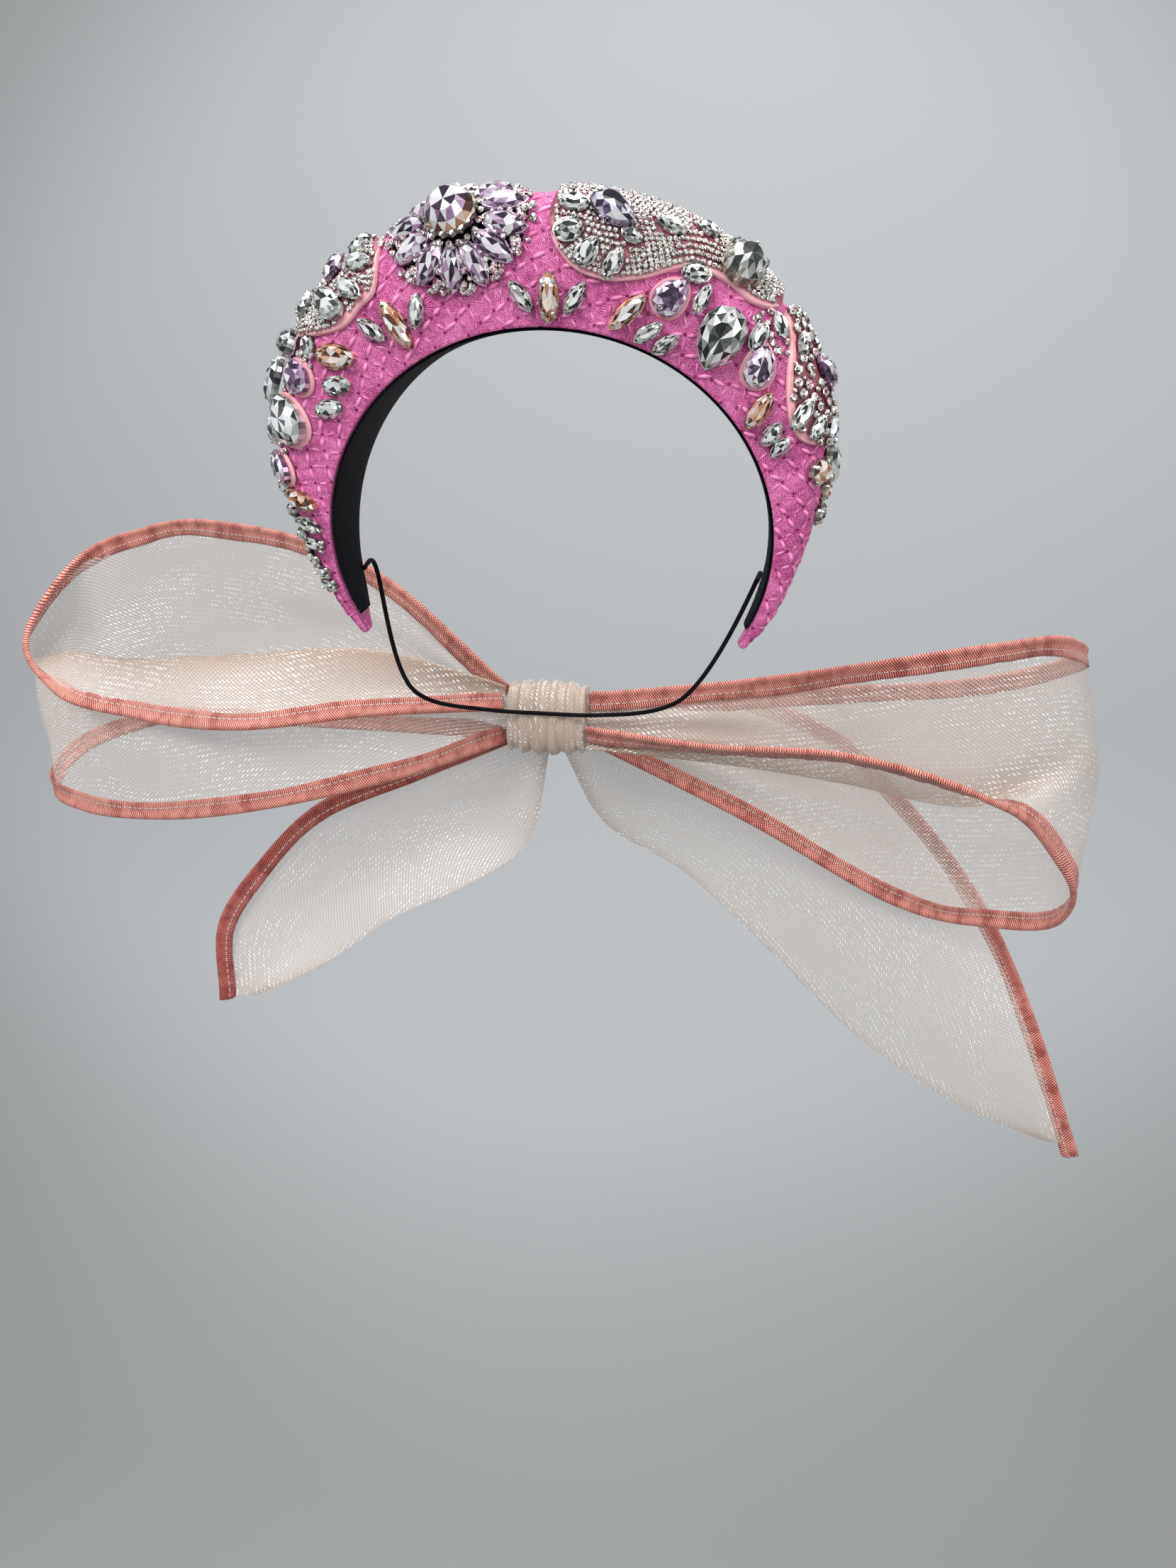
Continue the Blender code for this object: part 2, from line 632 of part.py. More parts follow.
def field_seats(table, columns, rows, lift, margin):
    """Points over the cover, inside a backing's outline, at a height above it."""
    outline = np.array(table)
    inset = (outline[-1, 0] - outline[0, 0]) * (FIELD_END_SHARE if margin else 0.0)
    angles = np.linspace(outline[0, 0] + inset, outline[-1, 0] - inset, columns + 1)
    edges = smooth_rows(
        np.abs(outline[:, 0] - outline[0, 0]), outline[:, 1:], np.abs(angles - outline[0, 0])
    )
    grid = []
    for angle, (low, high) in zip(angles, edges):
        line = []
        for over in np.linspace(low + margin, high - margin, rows + 1):
            point, normal, _, _ = band_seat(angle, over)
            line.append(point + normal * lift)
        grid.append(line)
    return np.array(grid)


def build_backing(name, table, columns, rows, collection):
    """Leather backing: a thin wall that follows the cover."""
    finish = material(name, (0.84, 0.42, 0.46), 0.5)
    grid = field_seats(table, columns, rows, BACKING_LIFT + BACKING_THICK / 2, 0.0)
    sheet_object(name, grid, BACKING_THICK, finish, collection)


def build_field(name, table, columns, rows, collection):
    """Field of small stones fused to one thin carrier: each cell rises to a flat table."""
    finish = material(name, (0.82, 0.80, 0.80), 0.15)
    base = BACKING_LIFT + BACKING_THICK + 3 * GAP
    low = field_seats(table, columns, rows, base, FIELD_MARGIN)
    high = field_seats(table, columns, rows, base + FIELD_THICK, FIELD_MARGIN)
    tables = field_seats(table, columns, rows, base + FIELD_THICK + FIELD_STONE_HEIGHT, FIELD_MARGIN)
    wide = rows + 1
    count = (columns + 1) * wide
    points = list(low.reshape(-1, 3)) + list(high.reshape(-1, 3))
    faces = []
    for c in range(columns):
        for r in range(rows):
            corners = [c * wide + r, (c + 1) * wide + r, (c + 1) * wide + r + 1, c * wide + r + 1]
            faces.append(tuple(corners[::-1]))
            flat = tables.reshape(-1, 3)[corners]
            middle = flat.mean(axis=0)
            first = len(points)
            points += list(middle + (flat - middle) * FIELD_TABLE_SHARE)
            for i in range(4):
                j = (i + 1) % 4
                faces.append((count + corners[i], count + corners[j], first + j, first + i))
            faces.append((first, first + 1, first + 2, first + 3))
    rim = [r for r in range(rows)] + [c * wide + rows for c in range(columns)]
    rim += [columns * wide + r for r in range(rows, 0, -1)] + [c * wide for c in range(columns, 0, -1)]
    for i, a in enumerate(rim):
        b = rim[(i + 1) % len(rim)]
        faces.append((a, b, count + b, count + a))
    add_mesh(name, points, faces, finish, collection, 5.0)


def main():
    """Clears the scene and builds every piece."""
    for old in list(bpy.data.objects):
        bpy.data.objects.remove(old)
    collection = bpy.data.collections.new("halo_headband_with_crin_bow")
    bpy.context.scene.collection.children.link(collection)
    build_band(collection)
    build_lining(collection)
    build_elastic(collection)
    build_loop("left_loop", LEFT_LOOP, collection)
    build_loop("right_loop", RIGHT_LOOP, collection)
    build_tail("left_tail", LEFT_TAIL, collection)
    build_tail("right_tail", RIGHT_TAIL, collection)
    build_knot(collection)
    build_backing("left_backing", LEFT_BACKING, 8, 6, collection)
    build_backing("right_backing", RIGHT_BACKING, 13, 7, collection)
    build_backing("leaf_backing", LEAF_BACKING, 8, 6, collection)
    build_field("left_rhinestones", LEFT_BACKING, 8, 5, collection)
    build_field("right_rhinestones", RIGHT_BACKING, 13, 6, collection)
    build_field("leaf_rhinestones", LEAF_BACKING, 8, 5, collection)
    build_flower(collection)
    build_stones(collection)


main()
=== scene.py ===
"""Look of the padded halo headband with a crin bow.

Metres in Blender; the classes below work in millimetres and degrees and turn them at the end.
+X is the viewer's right, the front of the hat faces -Y, +Z is up, and the origin is the middle
of the band's front lower edge.
"""
from __future__ import annotations

import logging
import math
from dataclasses import dataclass, field
from enum import Enum

import bpy
import numpy as np
from mathutils import Matrix

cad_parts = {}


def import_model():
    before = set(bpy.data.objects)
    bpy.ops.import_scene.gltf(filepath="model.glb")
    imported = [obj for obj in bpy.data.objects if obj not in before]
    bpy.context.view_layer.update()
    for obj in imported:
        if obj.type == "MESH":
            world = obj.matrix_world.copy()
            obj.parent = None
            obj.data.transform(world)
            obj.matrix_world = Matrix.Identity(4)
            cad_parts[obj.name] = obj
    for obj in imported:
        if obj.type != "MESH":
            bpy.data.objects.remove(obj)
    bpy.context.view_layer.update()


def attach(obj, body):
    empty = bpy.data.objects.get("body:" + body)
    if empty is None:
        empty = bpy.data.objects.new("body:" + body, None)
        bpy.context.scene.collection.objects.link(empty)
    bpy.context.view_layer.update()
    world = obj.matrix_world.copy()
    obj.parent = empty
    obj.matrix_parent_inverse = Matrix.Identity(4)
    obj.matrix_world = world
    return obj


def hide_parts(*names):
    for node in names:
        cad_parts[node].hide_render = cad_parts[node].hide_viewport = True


MM = 0.001
BODY = "root"
Array = np.ndarray
Object = bpy.types.Object
Material = bpy.types.Material
Socket = bpy.types.NodeSocket
Triple = tuple[float, float, float]
Rows = tuple[tuple[float, ...], ...]
Log = logging.getLogger("headband")


def unit(vectors: Array) -> Array:
    """Scale vectors to length one, along the last axis."""
    lengths = np.linalg.norm(vectors, axis=-1, keepdims=True)
    return vectors / np.maximum(lengths, 1e-9)


def around(count: int) -> Array:
    """Angles of one full turn in equal steps, from 0."""
    return np.linspace(0, 2 * math.pi, count, endpoint=False)


def circle(turns: Array) -> Array:
    """Points of a circle of radius 1 at the given angles, as N by 2."""
    return np.stack([np.cos(turns), np.sin(turns)], axis=1)


def distances(points: Array) -> Array:
    """Distance of each point along the line through them."""
    return np.concatenate([[0], np.cumsum(np.linalg.norm(np.diff(points, axis=0), axis=1))])


def pattern(u: Array, v: Array) -> Array:
    """Pattern coordinates from values along and across."""
    return np.stack(np.broadcast_arrays(u, v), axis=-1)


def new_object(name: str, data: object) -> Object:
    """Make an object and put it in the scene."""
    made = bpy.data.objects.new(name, data)
    bpy.context.scene.collection.objects.link(made)
    return made


def smooth_rows(keys: Array, rows: Array, at: Array) -> Array:
    """Cubic curve through the rows at their keys, with centred slopes.

    Args:
        keys: Rising positions of the rows.
        rows: One row of values for each key.
        at: Positions to read.

    Returns:
        One row of values for each position.
    """
    keys = np.asarray(keys, float)
    rows = np.asarray(rows, float)
    slopes = np.gradient(rows, keys, axis=0)
    i = np.clip(np.searchsorted(keys, at, side="right") - 1, 0, len(keys) - 2)
    span = (keys[i + 1] - keys[i])[:, None]
    t = (np.asarray(at) - keys[i])[:, None] / span
    start = rows[i] * (1 + 2 * t) * (1 - t) ** 2 + slopes[i] * span * t * (1 - t) ** 2
    end = rows[i + 1] * t * t * (3 - 2 * t) + slopes[i + 1] * span * t * t * (t - 1)
    return start + end


def grid_faces(rows: int, columns: int, closed: bool = False) -> Array:
    """Quads of a grid of points stored row by row; closed rows join their end to their start."""
    r = np.arange(rows - 1)[:, None]
    c = np.arange(columns if closed else columns - 1)[None, :]
    after = (c + 1) % columns
    quads = [r * columns + c, r * columns + after, (r + 1) * columns + after, (r + 1) * columns + c]
    return np.stack(np.broadcast_arrays(*quads), axis=-1).reshape(-1, 4)


class Surface:
    """One mesh being gathered: points in millimetres, faces, UVs, a tone and a slot per face."""

    def __init__(self) -> None:
        """Start with nothing in it."""
        self.points: list[Array] = []
        self.uvs: list[Array] = []
        self.faces: list[list[int]] = []
        self.tones: list[Array] = []
        self.slots: list[Array] = []
        self.count = 0

    def add(
        self,
        points: Array,
        faces: Array,
        uv: Array | None = None,
        tone: float | Array = 0.5,
        slot: int | Array = 0,
    ) -> None:
        """Add points with the faces between them.

        Args:
            points: N by 3 places in millimetres.
            faces: M by 3 or M by 4 point numbers, counted from this call's first point.
            uv: N by 2 pattern coordinates, or nothing for zeros.
            tone: Value for every face, or one for each.
            slot: Material slot for every face, or one for each.
        """
        points = np.asarray(points, float).reshape(-1, 3)
        faces = np.asarray(faces, int)
        self.points.append(points)
        self.uvs.append(np.zeros((len(points), 2)) if uv is None else np.asarray(uv).reshape(-1, 2))
        self.faces.extend((faces + self.count).tolist())
        self.tones.append(np.broadcast_to(np.asarray(tone, float), (len(faces),)))
        self.slots.append(np.broadcast_to(np.asarray(slot, int), (len(faces),)))
        self.count += len(points)

    def bands(self, levels: list[Array], tone: float | Array, slot: int) -> None:
        """Add closed rings of points with faces between each and the next."""
        faces = grid_faces(len(levels), len(levels[0]), closed=True)
        self.add(np.concatenate(levels), faces, None, tone, slot)

    def tube(self, rings: Array, uv: Array, tone: float = 0.5, flip: bool = False) -> None:
        """Add rings of points joined round and along, with one face over each end."""
        rows, columns = rings.shape[:2]
        start = np.arange(columns) + self.count
        faces = grid_faces(rows, columns, closed=True)
        self.add(rings, faces[:, ::-1] if flip else faces, uv, tone)
        for loop in (start[::-1], start + (rows - 1) * columns):
            self.faces.append((loop[::-1] if flip else loop).tolist())
            self.tones.append(np.array([tone]))
            self.slots.append(np.array([0]))

    def make(self, name: str, materials: list[Material], smooth: bool) -> Object:
        """Make the object, with its UV map in millimetres and its tone attribute.

        Args:
            name: The object's name.
            materials: Its material slots in order.
            smooth: Whether its faces are shaded smooth.

        Returns:
            The new object, in the scene, riding on the body.
        """
        mesh = bpy.data.meshes.new(name)
        points = np.concatenate(self.points)
        mesh.from_pydata((points * MM).tolist(), [], self.faces)
        loops = np.empty(len(mesh.loops), np.int32)
        mesh.loops.foreach_get("vertex_index", loops)
        layer = mesh.uv_layers.new(name="pattern")
        layer.data.foreach_set("uv", np.concatenate(self.uvs)[loops].astype(np.float32).ravel())
        tone = np.repeat(np.concatenate(self.tones), [len(f) for f in self.faces])
        shade = mesh.color_attributes.new("tone", "FLOAT_COLOR", "CORNER")
        colour = np.stack([tone, tone, tone, np.ones_like(tone)], axis=1)
        shade.data.foreach_set("color", colour.astype(np.float32).ravel())
        mesh.polygons.foreach_set("material_index", np.concatenate(self.slots).astype(np.int32))
        mesh.polygons.foreach_set("use_smooth", np.full(len(self.faces), smooth))
        for material in materials:
            mesh.materials.append(material)
        mesh.update()
        made = new_object(name, mesh)
        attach(made, BODY)
        Log.info("%s: %d triangles", name, sum(len(f) - 2 for f in self.faces))
        return made


# Materials


class Sketch:
    """Adds and links nodes in one node tree."""

    def __init__(self, tree: bpy.types.NodeTree) -> None:
        """Work in this tree."""
        self.tree = tree

    def node(self, kind: str, **settings: object) -> bpy.types.Node:
        """Add a node and set its properties."""
        made = self.tree.nodes.new(kind)
        for name, value in settings.items():
            setattr(made, name, value)
        return made

    def feed(self, socket: Socket, value: object) -> None:
        """Link a socket to another, or set its value."""
        if isinstance(value, Socket):
            self.tree.links.new(value, socket)
        else:
            socket.default_value = value

    def fill(self, made: bpy.types.Node, **values: object) -> bpy.types.Node:
        """Feed a node's inputs by name; underscores stand for spaces."""
        for name, value in values.items():
            self.feed(made.inputs[name.replace("_", " ")], value)
        return made

    def math(self, operation: str, *values: object) -> Socket:
        """Number from one sum of up to three values."""
        made = self.node("ShaderNodeMath", operation=operation)
        for socket, value in zip(made.inputs, (*values, 0.0, 0.0)):
            self.feed(socket, value)
        return made.outputs[0]

    def times(self, first: object, second: object) -> Socket:
        """Product of two values."""
        return self.math("MULTIPLY", first, second)

    def plus(self, first: object, second: object) -> Socket:
        """Sum of two values."""
        return self.math("ADD", first, second)

    def minus(self, first: object, second: object) -> Socket:
        """First value less the second."""
        return self.math("SUBTRACT", first, second)

    def fit(self, value: object, scale: object, shift: object) -> Socket:
        """Value scaled, then shifted."""
        return self.math("MULTIPLY_ADD", value, scale, shift)

    def wave(self, value: object) -> Socket:
        """Smooth wave from 0 to 1 with one crest per whole number."""
        return self.fit(self.math("SINE", self.times(value, 2 * math.pi)), 0.5, 0.5)

    def smooth_step(self, value: object, low: float, high: float) -> Socket:
        """Rise from 0 to 1 between two values."""
        made = self.node("ShaderNodeMapRange", interpolation_type="SMOOTHSTEP")
        return self.fill(made, Value=value, From_Min=low, From_Max=high).outputs["Result"]

    def noise(self, vector: object, scale: object, detail: float = 2.0) -> Socket:
        """Soft random value from 0 to 1."""
        made = self.node("ShaderNodeTexNoise")
        return self.fill(made, Vector=vector, Scale=scale, Detail=detail).outputs["Fac"]

    def cloud(self, vector: object, degrees: float, x: float, y: float, detail: float) -> Socket:
        """Soft random value in a turned pattern with x and y patches to the millimetre."""
        return self.noise(self.turn(vector, degrees, x, y), 1.0, detail)

    def turn(self, vector: object, degrees: float, x: float, y: float) -> Socket:
        """Pattern vector turned about its normal, then scaled along its own x and y."""
        turned = self.node("ShaderNodeMapping", vector_type="POINT")
        self.fill(turned, Vector=vector, Rotation=(0.0, 0.0, math.radians(degrees)))
        scaled = self.node("ShaderNodeMapping", vector_type="POINT")
        return self.fill(scaled, Vector=turned.outputs[0], Scale=(x, y, 1.0)).outputs[0]

    def stripes(self, vector: object, degrees: float, pitch: float) -> Socket:
        """Smooth stripes across a turned direction, one crest for each pitch."""
        return self.wave(self.split(self.turn(vector, degrees, 1 / pitch, 1.0))[0])

    def split(self, vector: object) -> tuple[Socket, Socket]:
        """The x and y of a vector."""
        made = self.node("ShaderNodeSeparateXYZ")
        self.feed(made.inputs[0], vector)
        return made.outputs[0], made.outputs[1]

    def mix(self, factor: object, first: object, second: object) -> Socket:
        """Colour between two colours."""
        made = self.node("ShaderNodeMix", data_type="RGBA")
        self.feed(made.inputs["Factor"], factor)
        self.feed(made.inputs[6], first)
        self.feed(made.inputs[7], second)
        return made.outputs[2]

    def ramp(self, factor: object, stops: tuple[tuple[float, tuple[float, ...]], ...]) -> Socket:
        """Colour read from a strip of colours.

        Args:
            factor: Where to read, 0 to 1.
            stops: Position and colour of each stop.

        Returns:
            The colour socket.
        """
        made = self.node("ShaderNodeValToRGB")
        strip = made.color_ramp
        while len(strip.elements) < len(stops):
            strip.elements.new(0.5)
        for element, (place, colour) in zip(strip.elements, stops):
            element.position = place
            element.color = (*colour, 1.0)
        self.feed(made.inputs["Fac"], factor)
        return made.outputs["Color"]


def start_group(name: str, value: str, result: str) -> tuple[Sketch, bpy.types.Node, bpy.types.Node]:
    """New node group that takes a vector and a value and gives a value.

    Args:
        name: The group's name.
        value: Name of the value that goes in.
        result: Name of the value that comes out.

    Returns:
        A sketch of the group, its input node and its output node.
    """
    tree = bpy.data.node_groups.new(name, "ShaderNodeTree")
    sockets = (("Vector", "INPUT", "Vector"), (value, "INPUT", "Float"), (result, "OUTPUT", "Float"))
    for label, way, kind in sockets:
        tree.interface.new_socket(label, in_out=way, socket_type=f"NodeSocket{kind}")
    s = Sketch(tree)
    return s, s.node("NodeGroupInput"), s.node("NodeGroupOutput")


def thread_group() -> bpy.types.NodeTree:
    """Crossing threads, shared by every cloth.

    Two sets of round threads cross at right angles, over and under in turn like a plain weave.
    """
    name = "crossing_threads"
    if name in bpy.data.node_groups:
        return bpy.data.node_groups[name]
    s, given, out = start_group(name, "Thread Share", "Height")
    x, y = s.split(given.outputs["Vector"])
    rounds = []
    for value in (x, y):
        inside = s.math("ABSOLUTE", s.minus(s.math("FRACT", value), 0.5))
        edge = s.math("DIVIDE", s.times(inside, 2.0), given.outputs["Thread Share"])
        rounds.append(s.math("MAXIMUM", s.minus(1.0, s.times(edge, edge)), 0.0))
    over = s.math("FLOORED_MODULO", s.plus(s.math("FLOOR", x), s.math("FLOOR", y)), 2.0)
    first = s.times(rounds[0], s.fit(over, 0.5, 0.5))
    second = s.times(rounds[1], s.fit(s.minus(1.0, over), 0.5, 0.5))
    s.feed(out.inputs["Height"], s.math("MAXIMUM", first, second))
    return s.tree


def patch_group() -> bpy.types.NodeTree:
    """Slow change of shade over a surface, shared by every finish that wears or varies."""
    name = "slow_patches"
    if name in bpy.data.node_groups:
        return bpy.data.node_groups[name]
    s, given, out = start_group(name, "Scale", "Patch")
    cloud = s.noise(given.outputs["Vector"], given.outputs["Scale"], 3.0)
    s.feed(out.inputs["Patch"], s.smooth_step(cloud, 0.32, 0.68))
    return s.tree


class Finish(Sketch):
    """Base of every finish: the sketch of one material, with helpers to feed its shader."""

    def __init__(self, name: str) -> None:
        """Make the material and keep its shader."""
        self.material = bpy.data.materials.new(name)
        self.material.use_nodes = True
        super().__init__(self.material.node_tree)
        self.shader = self.tree.nodes["Principled BSDF"]

    def place(self) -> Socket:
        """Pattern coordinates of the piece, in millimetres."""
        return self.node("ShaderNodeUVMap", uv_map="pattern").outputs[0]

    def solid(self) -> Socket:
        """Object coordinates in millimetres."""
        made = self.node("ShaderNodeVectorMath", operation="SCALE")
        made.inputs["Scale"].default_value = 1 / MM
        self.feed(made.inputs[0], self.node("ShaderNodeTexCoord").outputs["Object"])
        return made.outputs[0]

    def tone(self) -> Socket:
        """Tone of the face, 0 to 1."""
        return self.node("ShaderNodeAttribute", attribute_name="tone").outputs["Fac"]

    def group(self, tree: bpy.types.NodeTree, vector: object, value: float) -> Socket:
        """Result of a shared group at a vector, with its one value set."""
        made = self.node("ShaderNodeGroup", node_tree=tree)
        self.feed(made.inputs["Vector"], vector)
        made.inputs[1].default_value = value
        return made.outputs[0]

    def threads(self, vector: object, share: float) -> Socket:
        """Height of crossing threads read at a vector."""
        return self.group(thread_group(), vector, share)

    def patches(self, vector: object, scale: float) -> Socket:
        """Slow patches read at a vector."""
        return self.group(patch_group(), vector, scale)

    def bump(self, height: object, distance_mm: float) -> None:
        """Relief of a height that goes from 0 to 1."""
        made = self.node("ShaderNodeBump")
        self.fill(made, Strength=1.0, Distance=distance_mm * MM, Height=height)
        self.feed(self.shader.inputs["Normal"], made.outputs[0])

    def set(self, **values: object) -> None:
        """Feed shader sockets, named in small letters; underscores stand for spaces."""
        for name, value in values.items():
            title = name.replace("_", " ").title().replace("Ior", "IOR")
            self.feed(self.shader.inputs[title], value)


@dataclass(frozen=True)
class Lattice:
    """Square cells woven into the cover, turned from the direction along the band."""

    cell_mm: float = 6.4
    turn_deg: float = 25.0
    mm_per_degree: float = 1.62

    def axes(self) -> tuple[Array, Array]:
        """Directions of the cell's two sides in the pattern's plane."""
        turn = math.radians(self.turn_deg)
        return np.array((math.cos(turn), math.sin(turn))), np.array((-math.sin(turn), math.cos(turn)))

    def swell(self, u: Array, v: Array) -> Array:
        """Height of the cloth, 0 on the cell's sides and 1 in its middle, as a smooth pillow."""
        first, second = self.axes()
        sides = []
        for axis in (first, second):
            place = (u * axis[0] + v * axis[1]) / self.cell_mm
            sides.append(np.abs(np.sin(math.pi * place)))
        return np.minimum(*sides) ** 0.6


LATTICE = Lattice()


@dataclass(frozen=True)
class JacquardFinish:
    """Rose jacquard: fine twill in nested diamonds, with a small pit at each cell corner darkened by painted
    shade.
    """

    deep: Triple = (0.150, 0.005, 0.062)
    mid: Triple = (0.510, 0.046, 0.230)
    light: Triple = (0.940, 0.320, 0.590)
    twill_mm: float = 0.50

    def make(self) -> Material:
        """Build the material: cell sides sink, the twill runs round each cell's middle."""
        f = Finish("rose_jacquard_cover")
        place = f.place()
        size = 1 / LATTICE.cell_mm
        x, y = f.split(f.turn(place, -LATTICE.turn_deg, size, size))
        near = [f.math("PINGPONG", v, 0.5) for v in (x, y)]
        inside = f.smooth_step(f.math("MINIMUM", *near), 0.02, 0.20)
        corner = f.smooth_step(f.math("MAXIMUM", *near), 0.04, 0.12)
        drift = f.cloud(place, 10, 0.22, 0.22, 1.0)
        rings = f.fit(f.plus(*near), LATTICE.cell_mm / self.twill_mm / 1.414, f.times(drift, 4.5))
        twill = f.wave(rings)
        grain = f.cloud(place, 40, 2.6, 1.3, 3.0)
        yarn = f.cloud(place, -LATTICE.turn_deg, 0.5, 0.5, 3.0)
        fuzz = f.patches(place, 0.07)
        shade = f.fit(twill, 0.25, f.times(grain, 0.52))
        shade = f.plus(shade, f.times(yarn, 0.29))
        shade = f.plus(shade, f.fit(fuzz, 0.10, -0.05))
        # Painted shade: the sunken cell corners are darkened to 60 percent
        shade = f.times(shade, f.fit(corner, 0.40, 0.60))
        f.set(base_color=f.ramp(shade, ((0.32, self.deep), (0.50, self.mid), (0.70, self.light))))
        f.set(roughness=f.fit(twill, -0.20, 0.62))
        height = f.fit(inside, 0.34, f.times(twill, 0.15))
        height = f.plus(height, f.times(grain, 0.26))
        f.bump(f.plus(height, f.times(corner, 0.22)), 0.50)
        f.set(sheen_weight=0.08, sheen_roughness=0.4, specular_ior_level=0.35)
        return f.material


@dataclass(frozen=True)
class FloatFinish:
    """Short raised silk threads on the jacquard."""

    dark: Triple = (0.600, 0.050, 0.260)
    light: Triple = (0.980, 0.300, 0.600)

    def make(self) -> Material:
        """Build the material: each thread has its own tone and fine lines along it."""
        f = Finish("rose_silk_floats")
        lines = f.cloud(f.place(), 0, 0.5, 6.0, 2.0)
        shade = f.fit(f.tone(), 0.65, f.times(lines, 0.45))
        f.set(base_color=f.ramp(shade, ((0.15, self.dark), (0.85, self.light))))
        f.set(roughness=f.fit(lines, 0.2, 0.32))
        f.bump(lines, 0.08)
        f.set(sheen_weight=0.2, specular_ior_level=0.6)
        return f.material


@dataclass(frozen=True)
class BlackClothFinish:
    """Black lining ribbon or elastic: fine ribs and a little dust."""

    name: str
    rib_mm: float
    tint: Triple = (0.003, 0.003, 0.004)

    def make(self) -> Material:
        """Build the material from crossing threads."""
        f = Finish(self.name)
        place = f.place()
        rib = f.threads(f.turn(place, 0, 1 / self.rib_mm, 1 / self.rib_mm), 0.9)
        dust = f.patches(place, 0.12)
        shade = f.fit(rib, 0.6, f.times(dust, 0.3))
        lighter = tuple(v * 3.2 for v in self.tint)
        f.set(base_color=f.ramp(shade, ((0.1, self.tint), (0.9, lighter))))
        f.set(roughness=f.fit(rib, -0.15, 0.80))
        f.bump(rib, 0.12)
        f.set(specular_ior_level=0.06)
        return f.material


@dataclass(frozen=True)
class NetFinish:
    """Stiff see-through net of glassy threads laid on the bias."""

    thread_mm: float = 1.25
    bias_deg: float = 52.0
    thread: Triple = (0.720, 0.620, 0.550)
    fold: Triple = (0.430, 0.315, 0.240)
    # White of the painted glints
    painted_glint: Triple = (1.0, 0.985, 0.96)
    hole_alpha: float = 0.11
    thread_alpha: float = 0.56

    def make(self, name: str, dense: float = 0.0) -> Material:
        """Build the material.

        Args:
            name: The material's name.
            dense: How much of the holes the folded layers close, 0 to 1.

        Returns:
            The material.
        """
        f = Finish(name)
        place = f.place()
        fold = f.tone()
        warp = f.split(f.turn(place, self.bias_deg, 1 / self.thread_mm, 1 / self.thread_mm))[0]
        weft = f.split(f.turn(place, -self.bias_deg, 1 / self.thread_mm, 1 / self.thread_mm))[0]
        lines = [f.smooth_step(f.wave(v), 0.45, 0.8) for v in (warp, weft)]
        cover = f.math("MAXIMUM", *lines)
        # Painted glints: rows of short white dashes along the threads, in slow patches, mixed into the colour
        # and made more opaque
        row = f.stripes(place, 90, 2.3)
        field = f.smooth_step(f.cloud(place, 10, 1 / 52, 1 / 20, 2.5), 0.38, 0.54)
        broken = f.smooth_step(f.cloud(place, 0, 1 / 3.6, 1 / 1.6, 1.5), 0.42, 0.58)
        painted_glint = f.times(f.smooth_step(row, 0.30, 0.85), f.smooth_step(f.wave(warp), 0.30, 0.75))
        painted_glint = f.times(f.times(painted_glint, field), broken)
        base = f.mix(fold, (*self.thread, 1.0), (*self.fold, 1.0))
        f.set(base_color=f.mix(painted_glint, base, (*self.painted_glint, 1.0)))
        opaque = f.fit(cover, self.thread_alpha - self.hole_alpha, self.hole_alpha)
        opaque = f.plus(opaque, f.fit(fold, 0.34, dense))
        opaque = f.math("MAXIMUM", opaque, f.times(painted_glint, 0.92))
        f.set(alpha=f.math("MINIMUM", opaque, 1.0))
        f.set(roughness=f.fit(cover, -0.12, 0.44))
        f.bump(f.plus(cover, f.times(painted_glint, 0.5)), 0.16)
        f.set(specular_ior_level=0.45, sheen_weight=0.10)
        f.material.surface_render_method = "DITHERED"
        return f.material


@dataclass(frozen=True)
class BindingFinish:
    """Coral ribbed binding: slanted ribs outside the stitch line, straight ribs inside it."""

    shade: Triple = (0.170, 0.014, 0.012)
    mid: Triple = (0.590, 0.105, 0.078)
    light: Triple = (1.000, 0.490, 0.390)
    stitch: Triple = (0.930, 0.780, 0.740)
    rib_mm: float = 0.85
    stitch_at_mm: float = 5.3

    def make(self) -> Material:
        """Build the material; the pattern's y is the distance from the binding's outer edge."""
        f = Finish("coral_ribbed_binding")
        place = f.place()
        _, across = f.split(place)
        slant = f.smooth_step(f.stripes(place, 28, self.rib_mm), 0.15, 0.85)
        counter = f.stripes(place, -50, 1.2 * self.rib_mm)
        straight = f.stripes(place, 4, self.rib_mm)
        outer = f.fit(slant, 0.72, f.times(counter, 0.28))
        past = f.smooth_step(across, self.stitch_at_mm - 0.2, self.stitch_at_mm + 0.2)
        gap = f.times(past, f.minus(straight, outer))
        rib = f.plus(outer, gap)
        slow = f.patches(f.turn(place, 0, 1.0, 0.45), 0.085)
        # Painted shade: soft random patches darken the tape where it creases
        crease = f.smooth_step(f.cloud(place, 0, 1 / 6.5, 1 / 9.0, 2.0), 0.36, 0.52)
        shade = f.fit(rib, 0.78, f.fit(slow, 0.16, -0.11))
        shade = f.plus(shade, f.fit(crease, 0.20, -0.20))
        # Painted shade: a low tone darkens the binding, as on the left tail, which hangs in shade
        shade = f.plus(shade, f.fit(f.tone(), 0.60, -0.19))
        base = f.ramp(shade, ((0.05, self.shade), (0.42, self.mid), (0.84, self.light)))
        away = f.math("ABSOLUTE", f.minus(across, self.stitch_at_mm))
        line = f.minus(1.0, f.smooth_step(away, 0.10, 0.30))
        run = f.smooth_step(f.stripes(place, 0, 2.6), 0.10, 0.3)
        f.set(base_color=f.mix(f.times(f.times(line, run), 0.85), base, (*self.stitch, 1.0)))
        f.set(roughness=f.fit(crease, 0.12, 0.42))
        f.bump(f.minus(rib, f.times(line, 0.8)), 0.42)
        f.set(sheen_weight=0.2, specular_ior_level=0.5)
        return f.material


